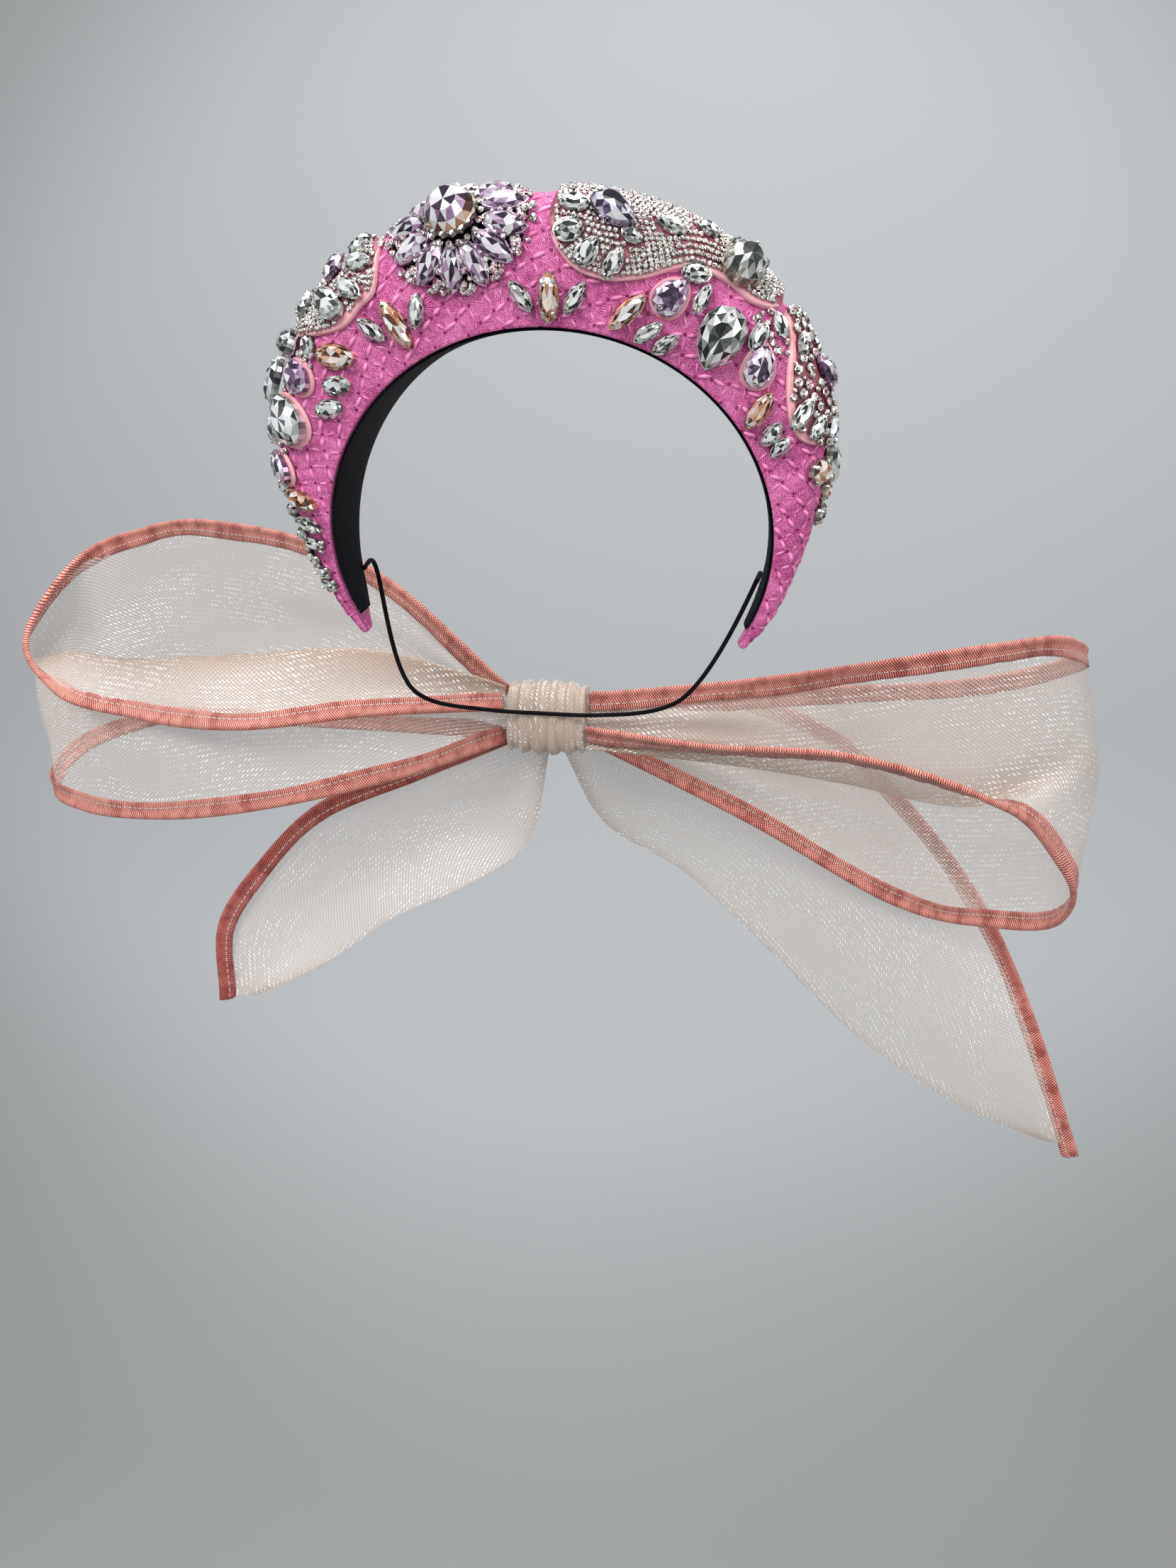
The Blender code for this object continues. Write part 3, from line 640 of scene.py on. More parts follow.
@dataclass(frozen=True)
class LeatherFinish:
    """Smooth pink leather with a paler cut edge and fine pores, and painted shade where stones cover it."""

    shade_under_stones: Triple = (0.230, 0.045, 0.070)
    face: Triple = (0.840, 0.330, 0.390)
    light: Triple = (0.960, 0.560, 0.580)

    def make(self) -> Material:
        """Build the material from pores and slow patches."""
        f = Finish("pink_leather")
        solid = f.solid()
        pores = f.node("ShaderNodeTexVoronoi", feature="DISTANCE_TO_EDGE")
        f.fill(pores, Vector=solid, Scale=1.6)
        grain = f.smooth_step(pores.outputs["Distance"], 0.0, 0.16)
        patch = f.patches(solid, 0.18)
        shade = f.fit(f.tone(), 0.80, f.fit(patch, 0.20, -0.05))
        f.set(base_color=f.ramp(shade, ((0.02, self.shade_under_stones), (0.30, self.face), (0.90, self.light))))
        f.set(roughness=f.fit(grain, -0.10, 0.52))
        f.bump(grain, 0.06)
        f.set(specular_ior_level=0.5)
        return f.material


@dataclass(frozen=True)
class SilverFinish:
    """Silver settings and claws, a little darker in places."""

    dark: Triple = (0.090, 0.080, 0.055)
    bright: Triple = (0.840, 0.820, 0.720)

    def make(self) -> Material:
        """Build the material: slow patches paint tarnish, and the tone paints shade in holes and pleat
        hollows, light on eyelet tops, and a set or random tone elsewhere.
        """
        f = Finish("silver_settings")
        solid = f.solid()
        tarnish_and_shade = f.fit(f.patches(solid, 0.45), 0.25, f.times(f.tone(), 0.75))
        f.set(base_color=f.mix(tarnish_and_shade, (*self.dark, 1.0), (*self.bright, 1.0)))
        f.set(roughness=f.fit(tarnish_and_shade, -0.12, 0.30))
        f.bump(f.noise(solid, 2.5), 0.05)
        f.set(metallic=1.0)
        return f.material


class Tint(Enum):
    """Colours of the stones: dark, middle, light and flash facets, and a slot name."""

    # The dark, middle, light and flash facet colours paint the reflections of the crystal's cuts
    CLEAR = ("clear_crystal", (0.010, 0.012, 0.013), (0.30, 0.32, 0.29), (0.78, 0.81, 0.76))
    LAVENDER = ("lavender_crystal", (0.020, 0.008, 0.030), (0.34, 0.18, 0.33), (0.80, 0.62, 0.79))
    VIOLET = ("lavender_crystal", (0.006, 0.004, 0.014), (0.09, 0.05, 0.14), (0.66, 0.56, 0.76))
    CHAMPAGNE = ("champagne_crystal", (0.070, 0.018, 0.007), (0.52, 0.19, 0.085), (0.93, 0.62, 0.42))
    PINK = ("lavender_crystal", (0.12, 0.008, 0.030), (0.55, 0.10, 0.20), (0.94, 0.60, 0.68))
    IVORY = ("clear_crystal", (0.055, 0.030, 0.026), (0.45, 0.37, 0.30), (0.93, 0.87, 0.77))


@dataclass(frozen=True)
class CrystalFinish:
    """Cut and foiled crystal: each facet's tone paints the light or dark that it reflects."""

    tint: Tint
    metal: float = 0.55

    def make(self) -> Material:
        """Build the material; the tone of a facet picks its painted reflection colour, up to painted white
        flashes, and haze shifts it slightly.
        """
        slot, dark, middle, light = self.tint.value
        f = Finish(f"{self.tint.name.lower()}_crystal_cut")
        haze = f.noise(f.solid(), 0.9, 2.0)
        shade = f.plus(f.tone(), f.fit(haze, 0.24, -0.12))
        stops = ((0.08, dark), (0.36, middle), (0.72, light), (0.93, (1.0, 1.0, 1.0)))
        f.set(base_color=f.ramp(shade, stops))
        f.set(roughness=f.fit(haze, 0.06, 0.03))
        f.set(metallic=self.metal, coat_weight=1.0, coat_roughness=0.02, ior=1.58)
        return f.material


@dataclass(frozen=True)
class StageFinish:
    """Plain pale backdrop with painted shade towards its corners and floor."""

    tint: Triple = (0.475, 0.488, 0.494)
    # Colour of the painted shade
    corner: Triple = (0.285, 0.292, 0.286)

    def make(self) -> Material:
        """Build the material: the distance from the middle of the wall picks the shade."""
        f = Finish("pale_backdrop")
        apart = f.node("ShaderNodeSeparateXYZ")
        f.feed(apart.inputs[0], f.solid())
        x = f.math("DIVIDE", f.plus(apart.outputs[0], 155.0), 1150.0)
        z = f.plus(apart.outputs[2], 250.0)
        z = f.math("MAXIMUM", f.math("DIVIDE", z, 1150.0), f.math("DIVIDE", z, -620.0))
        away = f.math("SQRT", f.plus(f.times(x, x), f.times(z, z)))
        shade = f.times(f.smooth_step(away, 0.72, 1.32), f.smooth_step(apart.outputs[1], -1300.0, -500.0))
        f.set(base_color=f.mix(shade, (*self.tint, 1.0), (*self.corner, 1.0)))
        f.set(roughness=0.9, specular_ior_level=0.1)
        return f.material


# Shape of the band


@dataclass
class Seats:
    """Places on the cover, each with its normal and the directions along and across the band."""

    point: Array
    normal: Array
    along: Array
    across: Array

    def turned(self, degrees: Array | float) -> tuple[Array, Array]:
        """Two directions in the surface, the first turned from the direction along the band."""
        turn = np.radians(np.broadcast_to(degrees, (len(self.point),)))[:, None]
        first = self.along * np.cos(turn) + self.across * np.sin(turn)
        return first, np.cross(self.normal, first)


@dataclass(frozen=True)
class Arch:
    """The padded arch. Its front lower edge is an ellipse arc in a plane that leans forward."""

    half_width: float = 79.0
    drop_ratio: float = 0.90
    lean_deg: float = 17.0
    tip_deg: float = 119.0
    crest_skew: float = 1.25
    fullness: float = 0.72
    inner_bulge: float = 0.8
    profile_steps: int = 60
    sections: tuple[Triple, ...] = (
        # angle_deg, width_mm, height_mm
        (-119.0, 7.0, 3.0), (-110.0, 18.0, 6.0), (-98.0, 26.0, 9.0),
        (-82.0, 34.0, 17.5), (-65.0, 40.0, 28.5), (-45.0, 44.0, 36.5),
        (-25.0, 46.0, 38.5), (0.0, 46.0, 39.0), (25.0, 46.0, 38.0),
        (45.0, 44.0, 34.0), (65.0, 40.0, 25.0), (82.0, 34.0, 15.0),
        (98.0, 26.0, 8.5), (110.0, 18.0, 6.0), (119.0, 7.0, 3.0),
    )

    def size(self, angle: Array) -> Array:
        """Width and padding height at each angle, as N by 2."""
        rows = np.array(self.sections)
        return smooth_rows(rows[:, 0], rows[:, 1:], np.atleast_1d(angle))

    def edge(self, angle: Array) -> tuple[Array, Array, Array]:
        """Point of the front lower edge with its outward and backward directions."""
        turn = np.radians(np.atleast_1d(np.asarray(angle, float)))[:, None]
        lean = math.radians(self.lean_deg)
        up = np.array((0.0, -math.sin(lean), math.cos(lean)))
        back = np.array((0.0, math.cos(lean), math.sin(lean)))
        side = np.array((1.0, 0.0, 0.0))
        drop = self.half_width * self.drop_ratio * (np.cos(turn) - 1)
        point = side * self.half_width * np.sin(turn) + up * drop
        outward = unit(side * self.drop_ratio * np.sin(turn) + up * np.cos(turn))
        return point, outward, np.broadcast_to(back, point.shape)

    def profile(self, angle: Array) -> tuple[Array, Array]:
        """Curve over the padding at each angle and the distance along it.

        The curve is a half turn whose depth follows a skewed cosine and whose lift follows
        a power of the sine, so the padding is fuller than a half circle.
        """
        point, outward, back = self.edge(angle)
        width, height = self.size(angle).T
        around = np.linspace(0.0, math.pi, self.profile_steps + 1)
        depth = width[:, None] * ((1 - np.cos(around)) / 2) ** self.crest_skew
        lift = height[:, None] * np.clip(np.sin(around), 0.0, 1.0) ** self.fullness
        points = (
            point[:, None, :]
            + back[:, None, :] * depth[..., None]
            + outward[:, None, :] * lift[..., None]
        )
        steps = np.linalg.norm(np.diff(points, axis=1), axis=2)
        return points, np.concatenate([np.zeros((len(points), 1)), np.cumsum(steps, axis=1)], axis=1)

    def reach(self, angle: Array) -> Array:
        """Whole distance over the padding at each angle."""
        return self.profile(angle)[1][:, -1]

    def point(self, angle: Array, over: Array) -> Array:
        """Places on the padding, over millimetres from the front edge."""
        angle, over = np.broadcast_arrays(np.atleast_1d(angle), np.atleast_1d(over))
        points, distances = self.profile(angle)
        i = np.clip((distances <= over[:, None]).sum(axis=1) - 1, 0, self.profile_steps - 1)
        rows = np.arange(len(i))
        span = distances[rows, i + 1] - distances[rows, i]
        t = np.clip((over - distances[rows, i]) / np.maximum(span, 1e-9), 0.0, 1.0)[:, None]
        return points[rows, i] * (1 - t) + points[rows, i + 1] * t

    def seat(self, angle: Array | float, over: Array | float) -> Seats:
        """Seats on the padding, from small steps along and across."""
        angle, over = np.broadcast_arrays(np.atleast_1d(angle), np.atleast_1d(over))
        angle = angle.astype(float)
        over = over.astype(float)
        along = unit(self.point(angle + 1.5, over) - self.point(angle - 1.5, over))
        across = unit(self.point(angle, over + 2.0) - self.point(angle, over - 2.0))
        normal = unit(np.cross(along, across))
        return Seats(self.point(angle, over), normal, along, np.cross(normal, along))

    def inner(self, angle: Array, share: Array, lift: float = 0.0) -> Array:
        """Places on the lined face, share 0 to 1 from front to back."""
        angle, share = np.broadcast_arrays(np.atleast_1d(angle), np.atleast_1d(share))
        point, outward, back = self.edge(angle)
        width = self.size(angle)[:, 0:1]
        bulge = self.inner_bulge * np.sin(math.pi * share)[:, None]
        return point + back * width * share[:, None] - outward * (bulge + lift)

    def per_degree(self, angle: float, over: float) -> float:
        """Millimetres along the cover for one degree."""
        ends = self.point(np.array([angle - 0.5, angle + 0.5]), np.array([over, over]))
        return float(np.linalg.norm(ends[1] - ends[0]))


ARCH = Arch()


@dataclass
class PaddedBand:
    """Jacquard cover over the padding, with its raised silk threads and black lining."""

    stations: int = 361
    outer_steps: int = 110
    inner_steps: int = 10
    tip_rings: int = 5
    puff_mm: float = 0.38
    leg_puff_mm: float = 0.35
    floats_seed: int = 7
    lining_margin: float = 1.2
    lining_thick: float = 1.0
    lining_gap: float = 0.3
    lining_tip_deg: float = 114.5

    def cover(self) -> Object:
        """Closed cover: outer curve and inner face in one ring at each station, rounded tips."""
        angles = np.linspace(-ARCH.tip_deg, ARCH.tip_deg, self.stations)
        reach = ARCH.reach(angles)
        shares = np.linspace(0, 1, self.outer_steps + 1)
        a, share = np.meshgrid(angles, shares, indexing="ij")
        over = share * reach[:, None]
        seats = ARCH.seat(a.ravel(), over.ravel())
        relief = LATTICE.swell(a * LATTICE.mm_per_degree, over) - 0.6
        fade = np.clip(np.minimum(share, 1 - share) * 25, 0.45, 1.0)
        puff = self.puff_mm + self.leg_puff_mm * np.clip((np.abs(a) - 55) / 20, 0, 1)
        swell = (relief * fade * puff).reshape(-1, 1)
        outer = (seats.point + seats.normal * swell).reshape(len(angles), -1, 3)
        inner_shares = np.linspace(1, 0, self.inner_steps + 1)[1:-1]
        ia, ishare = np.meshgrid(angles, inner_shares, indexing="ij")
        inner = ARCH.inner(ia.ravel(), ishare.ravel()).reshape(len(angles), -1, 3)
        rings = np.concatenate([outer, inner], axis=1)
        inner_over = reach[:, None] + (1 - ishare) * ARCH.size(angles)[:, 0:1]
        uv = pattern(angles[:, None] * LATTICE.mm_per_degree, np.concatenate([over, inner_over], axis=1))
        for end in (0, -1):
            ahead = unit(rings[end].mean(axis=0) - rings[1 if end == 0 else -2].mean(axis=0))
            middle = rings[end].mean(axis=0)
            caps = []
            for k in range(1, self.tip_rings + 1):
                turn = 0.5 * math.pi * k / self.tip_rings
                shrink = max(math.cos(turn), 0.02)
                caps.append(middle + (rings[end] - middle) * shrink + ahead * 1.6 * math.sin(turn))
            caps = np.array(caps)
            same = np.broadcast_to(uv[end], (self.tip_rings, *uv[end].shape))
            if end == 0:
                rings = np.concatenate([caps[::-1], rings])
                uv = np.concatenate([same, uv])
            else:
                rings = np.concatenate([rings, caps])
                uv = np.concatenate([uv, same])
        skin = Surface()
        skin.tube(rings, uv)
        made = skin.make("jacquard_cover", [JacquardFinish().make()], True)
        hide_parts("padded_band")
        return made

    def silk_floats(self) -> Object:
        """Raised threads: bold bundles on one set of cell sides, thin ones on the other, and strays.

        Each is a tube whose half width and height follow a half cosine, so its ends dive into
        the cloth.
        """
        rng = np.random.default_rng(self.floats_seed)
        skin = Surface()
        whole = np.arange(-40, 41)
        first, second = (v.ravel() for v in np.meshgrid(whole, whole, indexing="ij"))
        one, two = LATTICE.axes()
        kinds = (
            # shift_i, shift_j, direction, length_mm, half_width_mm, wander_mm, spread, share, tone
            (0.5, 0.0, one, 4.9, 0.62, 0.35, 0.16, 0.94, 0.72),
            (0.0, 0.5, two, 4.2, 0.36, 0.45, 0.22, 0.88, 0.62),
            (0.3, 0.6, one, 3.2, 0.19, 2.20, 2.00, 0.80, 0.60),
            (0.7, 0.2, two, 2.8, 0.17, 2.20, 2.00, 0.80, 0.35),
        )
        for shift_i, shift_j, axis, length, half, wander, spread, share, mean in kinds:
            spot = (first + shift_i)[:, None] * one + (second + shift_j)[:, None] * two
            spot = spot * LATTICE.cell_mm + rng.normal(0, wander, (len(first), 2))
            angle, over = spot[:, 0] / LATTICE.mm_per_degree, spot[:, 1]
            some = (np.abs(angle) < 114) & (over > 1.2) & (rng.random(len(over)) < share)
            angle, over = angle[some], over[some]
            some = over < ARCH.reach(angle) - 1.5
            a, o = angle[some], over[some]
            count = len(a)
            t = np.linspace(-0.5, 0.5, 5)
            run = t[None, :] * (length * rng.uniform(0.75, 1.15, count))[:, None]
            bend = rng.normal(0, spread, count)[:, None]
            aim = unit(axis + bend * np.array((-axis[1], axis[0])))
            sa = a[:, None] + run * aim[:, 0:1] / LATTICE.mm_per_degree
            so = o[:, None] + run * aim[:, 1:2]
            seats = ARCH.seat(sa.ravel(), np.clip(so, 0.2, None).ravel())
            middle = seats.point.reshape(count, 5, 3)
            ahead = unit(np.repeat(middle[:, 4:5] - middle[:, 0:1], 5, axis=1)).reshape(-1, 3)
            aside = np.cross(seats.normal, ahead)
            arch = np.tile(np.cos(math.pi * t), count)
            wide = (0.05 + half * arch)[:, None]
            lift = (-0.30 + (0.18 + 0.42 * half) * arch)[:, None]
            centre = seats.point + seats.normal * lift
            turns = around(4) + math.pi / 4
            ring = [
                centre + aside * wide * math.cos(v) * 1.35 + seats.normal * wide * math.sin(v) * 0.8
                for v in turns
            ]
            points = np.stack(ring, axis=1)
            local = grid_faces(5, 4, closed=True)
            faces = (np.arange(count)[:, None, None] * 20 + local[None]).reshape(-1, 4)
            tone = np.repeat(np.clip(rng.normal(mean, 0.22, count), 0, 1), len(local))
            side = np.tile(np.arange(4) * 0.5, count * 5) + np.repeat(so.ravel(), 4)
            skin.add(points.reshape(-1, 3), faces, np.stack([np.repeat(run.ravel(), 4), side], axis=1), tone)
        made = skin.make("silk_floats", [FloatFinish().make()], True)
        return made

    def lining(self) -> Object:
        """Black strip under the band: a closed thin wall with rounded long edges."""
        angles = np.linspace(-self.lining_tip_deg, self.lining_tip_deg, 241)
        width = ARCH.size(angles)[:, 0]
        turn = around(48)
        across = np.sign(np.cos(turn)) * np.abs(np.cos(turn)) ** 0.35
        thick = np.sign(np.sin(turn)) * np.abs(np.sin(turn)) ** 0.6
        half = 0.5 - self.lining_margin / width
        share = 0.5 + across[None, :] * half[:, None]
        lift = self.lining_gap + self.lining_thick / 2 * (1 + thick)
        a = np.broadcast_to(angles[:, None], share.shape)
        base = ARCH.inner(a.ravel(), share.ravel())
        outward = ARCH.edge(a.ravel())[1]
        depth = np.tile(lift, len(angles))[:, None]
        rings = (base - outward * depth).reshape(len(angles), len(turn), 3)
        uv = pattern(angles[:, None] * 1.4, share * width[:, None])
        skin = Surface()
        skin.tube(rings, uv)
        made = skin.make("lining_strip", [BlackClothFinish("black_lining_ribbon", 0.7).make()], True)
        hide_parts("inner_lining")
        return made

    def build(self) -> None:
        """Build every piece of the band."""
        self.cover()
        self.silk_floats()
        self.lining()


# Bow


@dataclass(frozen=True)
class Loop:
    """One loop: rows of the ribbon's upper edge, crease and lower edge, from the knot's centre."""

    name: str
    rows: Rows


@dataclass(frozen=True)
class Tail:
    """One tail: rows of its taped edge, its cut edge and its belly, and its binding's tone, which paints
    shade on the binding: lower is darker.
    """

    name: str
    tone: float
    rows: Rows


LEFT_LOOP = Loop("left_loop", (
    # top_x, top_y, top_z, fold_x, fold_y, fold_z, low_x, low_y, low_z
    (-18.3, -11, 3, -18.3, -7.5, 13, -18.3, -4, -12),
    (-71, -32, 0, -76, -20, 28, -61, -20, -28),
    (-122, -52, -6, -129, -32, 24, -112, -38, -41),
    (-172, -43, -5, -183, -30, 20, -165, -36, -50),
    (-216, -36, 5, -221, -12, 20, -210, -22, -52),
    (-241, -11, 32, -250, 4, 12, -231, -10, -45),
    (-241, 24, 60, -246, 22, 20, -231, 8, -33),
    (-208, 38, 79, -215, 36, 32, -206, 30, -19),
    (-157, 34, 81, -159, 38, 33, -157, 35, -16),
    (-91, 20, 64, -93, 26, 27, -93, 25, -14),
    (-18.3, 5, 12, -18.3, 5, 0, -18.3, 5, -12),
))

RIGHT_LOOP = Loop("right_loop", (
    # top_x, top_y, top_z, fold_x, fold_y, fold_z, low_x, low_y, low_z
    (18.3, -4, 12, 18.3, -7.5, -12, 18.3, -11, -2),
    (76, -20, 21, 69, -14, -13, 71, -28, -5),
    (126, -34, 31, 126, -24, -18, 129, -50, -3),
    (179, -40, 42, 179, -28, -23, 179, -52, -16),
    (211, -30, 45, 224, -22, -3, 210, -34, -41),
    (220, -12, 41, 232, -10, -8, 223, -20, -58),
    (213, 12, 33, 232, 8, -23, 225, 0, -78),
    (179, 36, 22, 199, 32, -33, 196, 26, -89),
    (125, 32, 17, 147, 38, -31, 159, 34, -84),
    (77, 14, 13, 87, 22, -18, 93, 20, -48),
    (18.3, 5, 12, 18.3, 5, 0, 18.3, 5, -12),
))

# The tails' binding tones paint shade: 0.05 puts the left tail's in deep shade, 0.44 the right tail's in a
# little
LEFT_TAIL = Tail("left_tail", 0.05, (
    # bound_x, bound_y, bound_z, cut_x, cut_y, cut_z, belly_mm
    (-15, 12.6, -3, -3, 11.6, -14, 0),
    (-65, 14, -27, -13, 15, -59, 5),
    (-110, 7, -47, -41, 8, -81, 8),
    (-135, 0, -73, -73, 2, -97, 8),
    (-154, -8, -106, -103, -4, -119, 5),
    (-152, -12, -138, -137, -10, -138, 0),
))

RIGHT_TAIL = Tail("right_tail", 0.44, (
    # bound_x, bound_y, bound_z, cut_x, cut_y, cut_z, belly_mm
    (15, 12.3, 5, 5, 12.4, -12, 0),
    (83, 48, 10, 25, 42, -55, 6),
    (131, 61, -8, 63, 54, -79, 9),
    (170, 60, -43, 105, 56, -115, 10),
    (208, 57, -91, 151, 55, -156, 9),
    (234, 53, -143, 197, 52, -183, 5),
    (257, 48, -203, 246, 48, -201, 0),
))


@dataclass
class Bow:
    """The bow: two loops and two tails of bound net, and a wrapped knot."""

    knot_centre: Triple = (-14.5, 118.0, -141.0)
    knot_size: Triple = (34.0, 24.0, 32.0)
    stations: int = 241
    net_steps: int = 61
    binding_mm: float = 8.0
    binding_gathered: float = 0.22
    binding_roll_mm: float = 1.35
    binding_flat_mm: float = 0.55
    crease_soft: float = 0.16
    gather_mm: float = 1.3
    gather_pleats: float = 3.0
    gather_share: float = 0.28
    elastic_radius: float = 0.9
    elastic_deg: float = 104.0
    under_cover: float = 1.6
    knot_clearance: float = 0.45
    net: Material = field(init=False)
    binding: Material = field(init=False)

    def __post_init__(self) -> None:
        """Make the two finishes that every ribbon shares."""
        self.net = NetFinish().make("crin_net")
        self.binding = BindingFinish().make()

    def rows(self, table: Rows, count: int) -> tuple[Array, Array]:
        """Table rows as a smooth run of stations, with the distance along the ribbon's middle."""
        rows = np.array(table, float)
        for first in range(0, rows.shape[1] - 2, 3):
            rows[:, first:first + 3] += self.knot_centre
        middle = rows[:, 3:6] if rows.shape[1] == 9 else (rows[:, 0:3] + rows[:, 3:6]) / 2
        keys = distances(middle)
        at = np.linspace(0, keys[-1], count)
        return smooth_rows(keys, rows, at), at

    def across(self, stations: Array, distance: Array) -> Array:
        """Places across a folded ribbon: two straight runs with the crease between them rounded.

        Args:
            stations: K by 9 rows of upper edge, crease and lower edge.
            distance: K by J distances from the upper edge.

        Returns:
            K by J by 3 places.
        """
        top, fold, low = stations[:, None, 0:3], stations[:, None, 3:6], stations[:, None, 6:9]
        upper = np.linalg.norm(fold - top, axis=2, keepdims=True)
        lower = np.linalg.norm(low - fold, axis=2, keepdims=True)
        crease = upper / (upper + lower)
        share = distance[:, :, None] / (upper + lower)
        straight = top + (fold - top) * (share / crease)
        after = fold + (low - fold) * ((share - crease) / (1 - crease))
        blend = np.clip((share - crease) / self.crease_soft / 2 + 0.5, 0.0, 1.0)
        blend = blend * blend * (3 - 2 * blend)
        return straight * (1 - blend) + after * blend

    def loop_width(self, stations: Array) -> Array:
        """Width of the ribbon at each station."""
        top, fold, low = stations[:, 0:3], stations[:, 3:6], stations[:, 6:9]
        return np.linalg.norm(fold - top, axis=1) + np.linalg.norm(low - fold, axis=1)

    def strip(
        self, path: Array, inward: Array, width: Array, run: Array, name: str, tone: float = 0.5
    ) -> Object:
        """Binding along an edge: a rolled outer edge and a flat inner part, as one closed tube.

        The section is a half circle at the outer edge that narrows to two flat faces.

        Args:
            path: K by 3 places of the outer edge.
            inward: K by 3 directions from the edge into the ribbon.
            width: K widths of the binding.
            run: K distances along it.
            name: The piece's name.
            tone: How light it is, 0 to 1; lower values paint shade on it.

        Returns:
            The binding.
        """
        ahead = unit(np.gradient(path, axis=0))
        inward = unit(inward - ahead * (inward * ahead).sum(axis=1, keepdims=True))
        normal = np.cross(ahead, inward)
        r, flat = self.binding_roll_mm, self.binding_flat_mm
        turn = np.linspace(-0.5 * math.pi, -1.5 * math.pi, 9)
        w = list(r + r * np.cos(turn))
        n = list(r * np.sin(turn))
        near = [2.3, 3.0, 4.0, 5.4, 6.8, 8.0]
        rise = [0.92 * r, flat * 1.25, flat, flat * 1.05, flat, 0.6 * flat]
        w += near + near[::-1]
        n += rise + [-v for v in rise[::-1]]
        w, n = np.array(w), np.array(n)
        scale = (width / self.binding_mm)[:, None]
        pucker = 0.30 * np.sin(run * 0.43) * np.sin(run * 0.117 + 1.0) + 0.16 * np.sin(run * 1.31)
        wander = 0.35 * np.sin(run * 0.093 + 0.6)
        side = w[None, :] * scale + wander[:, None] * (w[None, :] > 3.5)
        lift = n[None, :] * scale + pucker[:, None] * (w[None, :] / self.binding_mm) ** 2
        rings = path[:, None] + inward[:, None] * side[..., None] + normal[:, None] * lift[..., None]
        uv = pattern(run[:, None], w)
        skin = Surface()
        skin.tube(rings, uv, tone)
        made = skin.make(name, [self.binding], True)
        return made

    def sheet(self, grid: Array, uv: Array, tone: Array, name: str) -> Object:
        """Net as one open surface with its pattern in millimetres."""
        rows, columns = grid.shape[:2]
        skin = Surface()
        faces = grid_faces(rows, columns)
        skin.add(grid, faces, uv, tone.reshape(-1)[faces[:, 0]])
        made = skin.make(name, [self.net], True)
        return made

    def loop(self, loop: Loop) -> None:
        """One loop: net between two bindings, rippled where it is gathered at the knot."""
        stations, run = self.rows(loop.rows, self.stations)
        width = self.loop_width(stations)
        tape = np.minimum(self.binding_mm, self.binding_gathered * width)
        inner = tape * 0.80
        share = np.linspace(0, 1, self.net_steps)
        distance = inner[:, None] + share[None, :] * (width - 2 * inner)[:, None]
        grid = self.across(stations, distance)
        along = unit(np.gradient(grid, axis=0))
        side = unit(np.gradient(grid, axis=1))
        normal = unit(np.cross(along, side))
        ends = np.minimum(run, run[-1] - run) / run[-1]
        depth = self.gather_mm * np.clip(1 - ends / self.gather_share, 0, 1)[:, None]
        ripple = depth * np.sin(2 * math.pi * self.gather_pleats * share)[None, :]
        calm = np.sin(math.pi * share)[None, :]
        drift = 0.8 * np.sin(run * 0.045)[:, None] * np.sin(2 * math.pi * share * 1.5)[None, :] * calm
        grid = grid + normal * (ripple + drift)[..., None]
        fold = stations[:, 3:6]
        upper = np.linalg.norm(fold - stations[:, 0:3], axis=1)
        bend = unit(fold - stations[:, 0:3])
        turned = 1 - np.clip((bend * unit(stations[:, 6:9] - fold)).sum(axis=1), -1, 1)
        apart = distance - upper[:, None]
        near = np.exp(-((apart / np.where(apart < 0, 13.0, 6.0)) ** 2))
        tone = near * np.clip(turned[:, None] * 0.9, 0, 1) + 0.5 * np.clip(depth / 2.2, 0, 0.4)
        uv = pattern(run[:, None], distance)
        net = self.sheet(grid, uv, tone, f"{loop.name}_net")
        for part, edge, sign in (("upper", 0.0, 1), ("lower", 1.0, -1)):
            at = np.full((len(run), 1), 1.0) * (edge * width)[:, None]
            path = self.across(stations, at)[:, 0]
            inside = self.across(stations, at + sign * 0.6 * tape[:, None])[:, 0]
            strip = self.strip(path, inside - path, tape, run, f"{loop.name}_{part}_binding")
            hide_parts(f"{loop.name}_{part}_tape")
        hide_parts(f"{loop.name}_crin")

    def tail(self, tail: Tail) -> None:
        """One tail: net with a binding along its long edge, its free edge cut on a slant."""
        stations, run = self.rows(tail.rows, self.stations)
        bound, cut, belly = stations[:, 0:3], stations[:, 3:6], stations[:, 6]
        width = np.linalg.norm(cut - bound, axis=1)
        tape = np.full(len(run), self.binding_mm)
        ahead = unit(np.gradient(bound, axis=0))
        across = unit(cut - bound)
        normal = unit(np.cross(ahead, across))
        start = 0.8 * self.binding_mm
        end = np.maximum(width + 2.5, start + 1.5)
        share = np.linspace(0, 1, self.net_steps)
        distance = start + share[None, :] * (end - start)[:, None]
        reach = distance / np.maximum(width, 1.0)[:, None]
        swell = belly[:, None] * np.sin(math.pi * np.clip(reach, 0, 1.1))
        flutter = 0.9 * np.sin(run * 0.05 + 0.4)[:, None] * share[None, :] ** 1.5
        grid = (
            bound[:, None] + across[:, None] * distance[..., None]
            - normal[:, None] * (swell + flutter)[..., None]
        )
        ends = np.clip(1 - run / run[-1] / self.gather_share, 0, 1)[:, None]
        tip = np.exp(-((run[-1] - run) / 16.0) ** 2)[:, None]
        free = np.exp(-((distance - end[:, None]) / 4.5) ** 2)
        tone = np.clip(0.60 * free + 0.6 * tip + 0.4 * ends, 0, 1)
        uv = pattern(run[:, None], distance)
        net = self.sheet(grid, uv, tone, f"{tail.name}_net")
        more = np.arange(1, 6)[:, None] * 0.6
